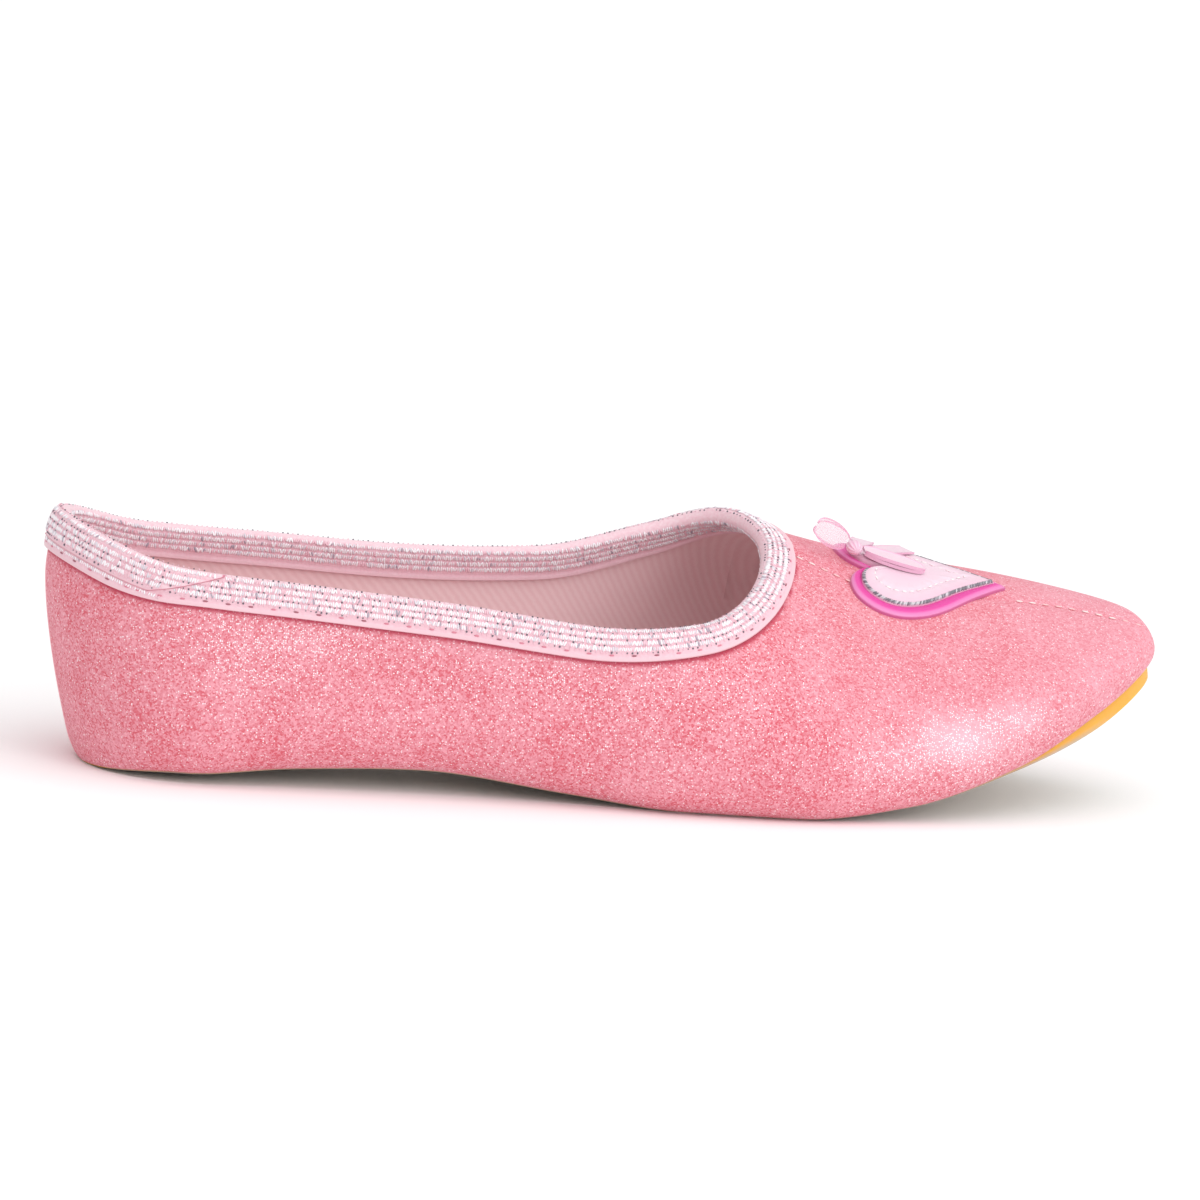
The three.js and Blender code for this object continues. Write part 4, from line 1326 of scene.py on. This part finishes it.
# Closed path round a heart at a share of its reach, on top of it; lean turns its stitches to the rim's slope
def heartPath(inset, reach, column, base, lift, lean=0):
    height = float(heartHeight(column, np.array(reach), base))
    rays = heartRays(inset)
    points, ups = [], []
    for ray in [*rays, rays[0]]:
        spot, normal = onVamp(hearts["middle"] + ray[0] * reach, ray[1] * reach)
        out = spot - onVamp(hearts["middle"] + ray[0] * reach * 0.9, ray[1] * reach * 0.9)[0]
        up = normal * math.cos(lean) + out / np.linalg.norm(out) * math.sin(lean)
        points.append(spot + normal * height + up * lift)
        ups.append(up)
    return np.array(points), np.array(ups)


# Part of a path round the heart that the bow does not cover
def clearOfBow(points, ups):
    middle = onVamp(*hearts["bowAt"])[0]
    shown = np.linalg.norm(points - middle, axis=1) > hearts["bowReach"]
    start = int(np.argmax(shown & ~np.roll(shown, 1)))
    kept = np.roll(shown, -start)
    return np.roll(points, -start, axis=0)[kept], np.roll(ups, -start, axis=0)[kept]


# Filling drawn in along the quilting line, with soft puckers to each side of it
def pucker(reach, turn):
    drawn = -hearts["quiltSink"] * np.exp(-(((reach - hearts["quiltAt"]) / 0.05) ** 2))
    wave = math.sin(19 * turn + 1.2 * math.sin(3 * turn)) + 0.6 * math.sin(31 * turn + 2)
    return drawn + hearts["pucker"] * wave * np.exp(-(((reach - hearts["quiltAt"]) / 0.16) ** 2))


def dressHearts():
    gap, inset, base = last["gap"], hearts["patchInset"], hearts["patchBase"]
    makeHeart(
        "heartBacking", 0, gap, -0.1, "backing", finishes["brightSatin"], "heart_backing",
        lambda reach, turn: 0 * reach,
    )
    patch = makeHeart(
        "heartPatch", inset, base, 0.6, "patch", finishes["paleSatin"], "heart_patch", pucker,
    )
    edging = clearOfBow(*heartPath(inset, hearts["zigzagAt"], "patch", base, 0.06, hearts["zigzagLean"]))
    sewRows("heartZigzag", [edging], hearts["zigzag"], finishes["silver"])
    quilting = heartPath(inset, hearts["quiltAt"], "patch", base, -0.14)
    sewRows("heartQuilting", [quilting], hearts["quilting"], finishes["whiteThread"])


dressHearts()
print("hearts dressed")


# Middle seam of the vamp: a row of pale stitches from the elastic to the heart and on to the toe
seam = {
    "spans": ((132.2, 141), (173.6, 196.2)),
    "stitch": {"pitch": 2.3, "length": 1.55, "width": 0.42, "height": 0.3, "seed": 9},
}


def sewSeam():
    rows = []
    for start, end in seam["spans"]:
        gone = np.linspace(start, end, 60) - hearts["notch"]
        across = seamAcross(gone + hearts["notch"]) - hearts["turn"] * gone
        spots = [onVamp(a, c) for a, c in zip(gone, across)]
        path = np.array([spot - normal * (upper["seamSink"] - 0.2) for spot, normal in spots])
        rows.append((path, np.array([normal for _, normal in spots])))
    sewRows("vampSeamStitches", rows, seam["stitch"], finishes["seamThread"])


sewSeam()
print("seam sewn")


# Bow of organza ribbon: a knot, a loop to each side and two free ends
bow = {
    "thick": 0.22,
    "waist": 0.14,
    "round": 0.75,
    "knot": {"along": -2.4, "across": 2.8, "up": 2.9, "length": 1.4, "width": 2, "height": 1.2, "folds": 5},
    "loops": {
        "bow_loop_heel": {
            "reach": -9, "start": 1.75, "width": 4.3, "swell": 0.85, "neck": 0.35, "square": 1,
            "climb": 0.28, "heading": 0, "turn": 1.6, "body": 0.1, "edge": 0.7, "hem": 0.06,
        },
        "bow_loop_toe": {
            "reach": 13, "start": 1.75, "width": 4.2, "swell": 0.38, "neck": 0.9, "square": 0.5,
            "climb": -0.03, "heading": -0.26, "turn": 0, "body": 0.9, "edge": 0.6, "hem": 0.2,
        },
    },
    "tails": {
        "bow_tail_outer": {
            "heading": 0.44, "start": 3.9, "reach": 13.5, "width": 4, "up": 2.25, "body": 0.85, "edge": 0.6,
            "hem": 0.06,
        },
        "bow_tail_inner": {
            "heading": 1.05, "start": 3.5, "reach": 9, "width": 4, "up": 2.25, "body": 0.85, "edge": 0.6,
            "hem": 0.06,
        },
    },
    "columns": 19,
}


# Ribbon along steps of (point, sideways direction, width); its hems are thicker than its cloth
def makeRibbon(name, node, steps, cloth):
    shares = np.linspace(-0.5, 0.5, bow["columns"])
    middle = np.array([[point + side * share * width for share in shares] for point, side, width in steps])
    spans = np.linalg.norm(np.diff(middle[:, bow["columns"] // 2], axis=0), axis=1)
    lengths = np.concatenate([[0], np.cumsum(spans)])
    points, faces, first = weld([middle])
    out = outward(points, faces)
    rowShare = np.tile(shares, len(steps))[first]
    spread = np.stack([
        np.repeat(lengths, len(shares))[first],
        rowShare * np.repeat([width for _, _, width in steps], len(shares))[first],
    ], 1) * mm
    rim = ease(np.abs(rowShare), 0.4, 0.47)
    half = (bow["thick"] / 2 + cloth["hem"] * rim)[:, None]
    points, faces = between(points - out * half, points + out * half, faces)
    return makePiece(
        name, points, faces, [finishes["organza"]], [node], uv=np.tile(spread, (2, 1)),
        values={"selvedge": np.tile(cloth["edge"] * rim, 2), "body": np.full(len(points), cloth["body"])},
    )


# The tied middle of the bow; also its directions up, towards the toe and aside
def tieKnot():
    knot = bow["knot"]
    root, up = onVamp(knot["along"], knot["across"])
    ahead = onVamp(knot["along"] + 6, knot["across"])[0] - root
    ahead /= np.linalg.norm(ahead)
    side = np.cross(up, ahead)
    side /= np.linalg.norm(side)
    middle = root + up * knot["up"]
    rows = []
    for polar in np.linspace(0, math.pi, 29):
        row = []
        for turn in np.linspace(0, 2 * math.pi, 57):
            fold = 1 + 0.07 * math.cos(2 * knot["folds"] * turn) * math.sin(polar)
            x, y, z = math.sin(polar) * math.cos(turn), math.cos(polar), math.sin(polar) * math.sin(turn)
            offset = ahead * x * knot["length"] + side * y * knot["width"] + up * z * knot["height"]
            row.append(middle + offset * fold)
        rows.append(row)
    points, faces, _ = weld([np.array(rows)])
    if outward(points, faces)[0] @ (points[0] - middle) < 0:
        faces = faces[:, ::-1]
    local = points - middle
    turn = np.arctan2(local @ up / knot["height"], local @ ahead / knot["length"])
    # painted shade in the knot's creases: denser, pinker cloth in the troughs of its folds
    creaseShade = 0.5 - 0.5 * np.cos(2 * knot["folds"] * turn)
    makePiece(
        "bowKnot", points, faces, [finishes["organza"]], ["bow_knot"],
        uv=np.stack([turn * knot["length"], local @ side], 1) * mm,
        values={"selvedge": 0.05 + 0.55 * creaseShade, "body": np.full(len(points), 0.9)},
    )
    return up, ahead, side


# The bow's two loops, each out from the knot and back to it
def tieLoops(up, ahead, side):
    knot = bow["knot"]
    for name, loop in bow["loops"].items():
        way = math.copysign(1, loop["reach"])
        lifted = up * math.cos(loop["climb"]) - ahead * way * math.sin(loop["climb"])
        rolled = side * math.cos(loop["turn"]) - lifted * math.sin(loop["turn"])
        steps = []
        for turn in np.linspace(0.25, 2 * math.pi - 0.25, 61):
            far = loop["start"] + (abs(loop["reach"]) - loop["start"]) * (1 - math.cos(turn)) / 2
            bulge = math.copysign(abs(math.sin(turn)) ** loop["square"], math.sin(turn))
            swell = loop["swell"] * bulge * (loop["neck"] + (1 - loop["neck"]) * math.sin(turn / 2))
            upward, aside = swell * math.cos(loop["turn"]), swell * math.sin(loop["turn"])
            out = way * (far * math.cos(loop["climb"]) - upward * math.sin(loop["climb"]))
            rise = far * math.sin(loop["climb"]) + upward * math.cos(loop["climb"])
            spot, normal = onVamp(
                knot["along"] + out * math.cos(loop["heading"]) - aside * math.sin(loop["heading"]),
                knot["across"] + out * math.sin(loop["heading"]) + aside * math.cos(loop["heading"]),
            )
            width = loop["width"] * (bow["waist"] + (1 - bow["waist"]) * abs(math.sin(turn)) ** bow["round"])
            steps.append((spot + normal * (knot["up"] + rise), rolled, width))
        makeRibbon(name.replace("bow_loop_", "bowLoop_"), name, steps, loop)


# The bow's two free ends, lying on the heart
def tieTails(up, ahead):
    knot = bow["knot"]
    for name, tail in bow["tails"].items():
        heading = tail["heading"]
        steps = []
        for far in np.linspace(tail["start"], tail["reach"], 33):
            along, across = far * math.cos(heading), far * math.sin(heading)
            spot, normal = onVamp(knot["along"] + along, knot["across"] + across)
            aside = np.array(Matrix.Rotation(heading + math.pi / 2, 3, Vector(up)) @ Vector(ahead))
            aside -= normal * (aside @ normal)
            aside /= np.linalg.norm(aside)
            gone = (far - tail["start"]) / (tail["reach"] - tail["start"])
            steps.append((spot + normal * tail["up"], aside, tail["width"] * (0.4 + 0.6 * min(1, gone * 2))))
        makeRibbon(name.replace("bow_tail_", "bowTail_"), name, steps, tail)


upward, toeward, sideways = tieKnot()
tieLoops(upward, toeward, sideways)
tieTails(upward, toeward)
print("bow tied")


# Pale floor, soft studio light and the photo's viewing angle
studio = {
    "floorHalf": 4,
    "floorColour": "#FFFFFF",
    "worldStrength": 0.68,
    # even light from above, so that the floor stays one white: direction, strength, spread in degrees
    "sky": ((0.2, -0.35, 0.92), 1.3, 75),
    # soft box at the front: direction from the shoe, distance, size, power in watts
    "key": ((0.5, -0.85, 0.4), 1.1, 0.45, 2.0),
    "azimuth": -12,
    "elevation": 10,
    "roll": 4.8,
    "distance": 1.2,
    "across": 0.2102,
    "aim": (-0.0018, 0, 0.0318),
    "sensor": 36,
}


def layFloor():
    half = studio["floorHalf"]
    corners = [(-half, -half, 0), (half, -half, 0), (half, half, 0), (-half, half, 0)]
    mesh = bpy.data.meshes.new("floor")
    mesh.from_pydata(corners, [], [(0, 1, 2, 3)])
    material, tree = newMaterial("palePaper")
    paper = addNode(
        tree, "ShaderNodeBsdfPrincipled", {"Base Color": colour(studio["floorColour"]), "Roughness": 0.9},
    )
    addNode(tree, "ShaderNodeOutputMaterial", {"Surface": paper.outputs["BSDF"]})
    mesh.materials.append(material)
    floor = bpy.data.objects.new("floor", mesh)
    bpy.context.collection.objects.link(floor)


def setLights():
    world = bpy.data.worlds.new("softRoom")
    world.use_nodes = True
    world.node_tree.nodes["Background"].inputs["Color"].default_value = colour("#FFFFFF")
    world.node_tree.nodes["Background"].inputs["Strength"].default_value = studio["worldStrength"]
    bpy.context.scene.world = world
    for name, kind in (("sky", "SUN"), ("key", "AREA")):
        light = bpy.data.lights.new(name, kind)
        way = Vector(studio[name][0]).normalized()
        lamp = bpy.data.objects.new(name, light)
        bpy.context.collection.objects.link(lamp)
        lamp.rotation_euler = way.to_track_quat("Z", "Y").to_euler()
        if kind == "SUN":
            light.energy = studio[name][1]
            light.angle = math.radians(studio[name][2])
            lamp.location = way
        else:
            light.shape = "DISK"
            light.size = studio[name][2]
            light.energy = studio[name][3]
            lamp.location = way * studio[name][1]


def setCamera():
    turn, tip, roll = (math.radians(studio[name]) for name in ("azimuth", "elevation", "roll"))
    back = Vector((math.sin(turn) * math.cos(tip), -math.cos(turn) * math.cos(tip), math.sin(tip)))
    right = Vector((math.cos(turn), math.sin(turn), 0))
    up = back.cross(right)
    rolledRight = right * math.cos(roll) + up * math.sin(roll)
    rolledUp = up * math.cos(roll) - right * math.sin(roll)
    lens = bpy.data.cameras.new("photoCamera")
    lens.sensor_width = studio["sensor"]
    lens.lens = studio["sensor"] * studio["distance"] / studio["across"]
    camera = bpy.data.objects.new("photoCamera", lens)
    bpy.context.collection.objects.link(camera)
    place = Vector(studio["aim"]) + back * studio["distance"]
    turned = Matrix((rolledRight, rolledUp, back)).transposed().to_4x4()
    camera.matrix_world = Matrix.Translation(place) @ turned
    bpy.context.scene.camera = camera
    bpy.context.scene.view_settings.view_transform = "Standard"


layFloor()
setLights()
setCamera()
print("studio set")
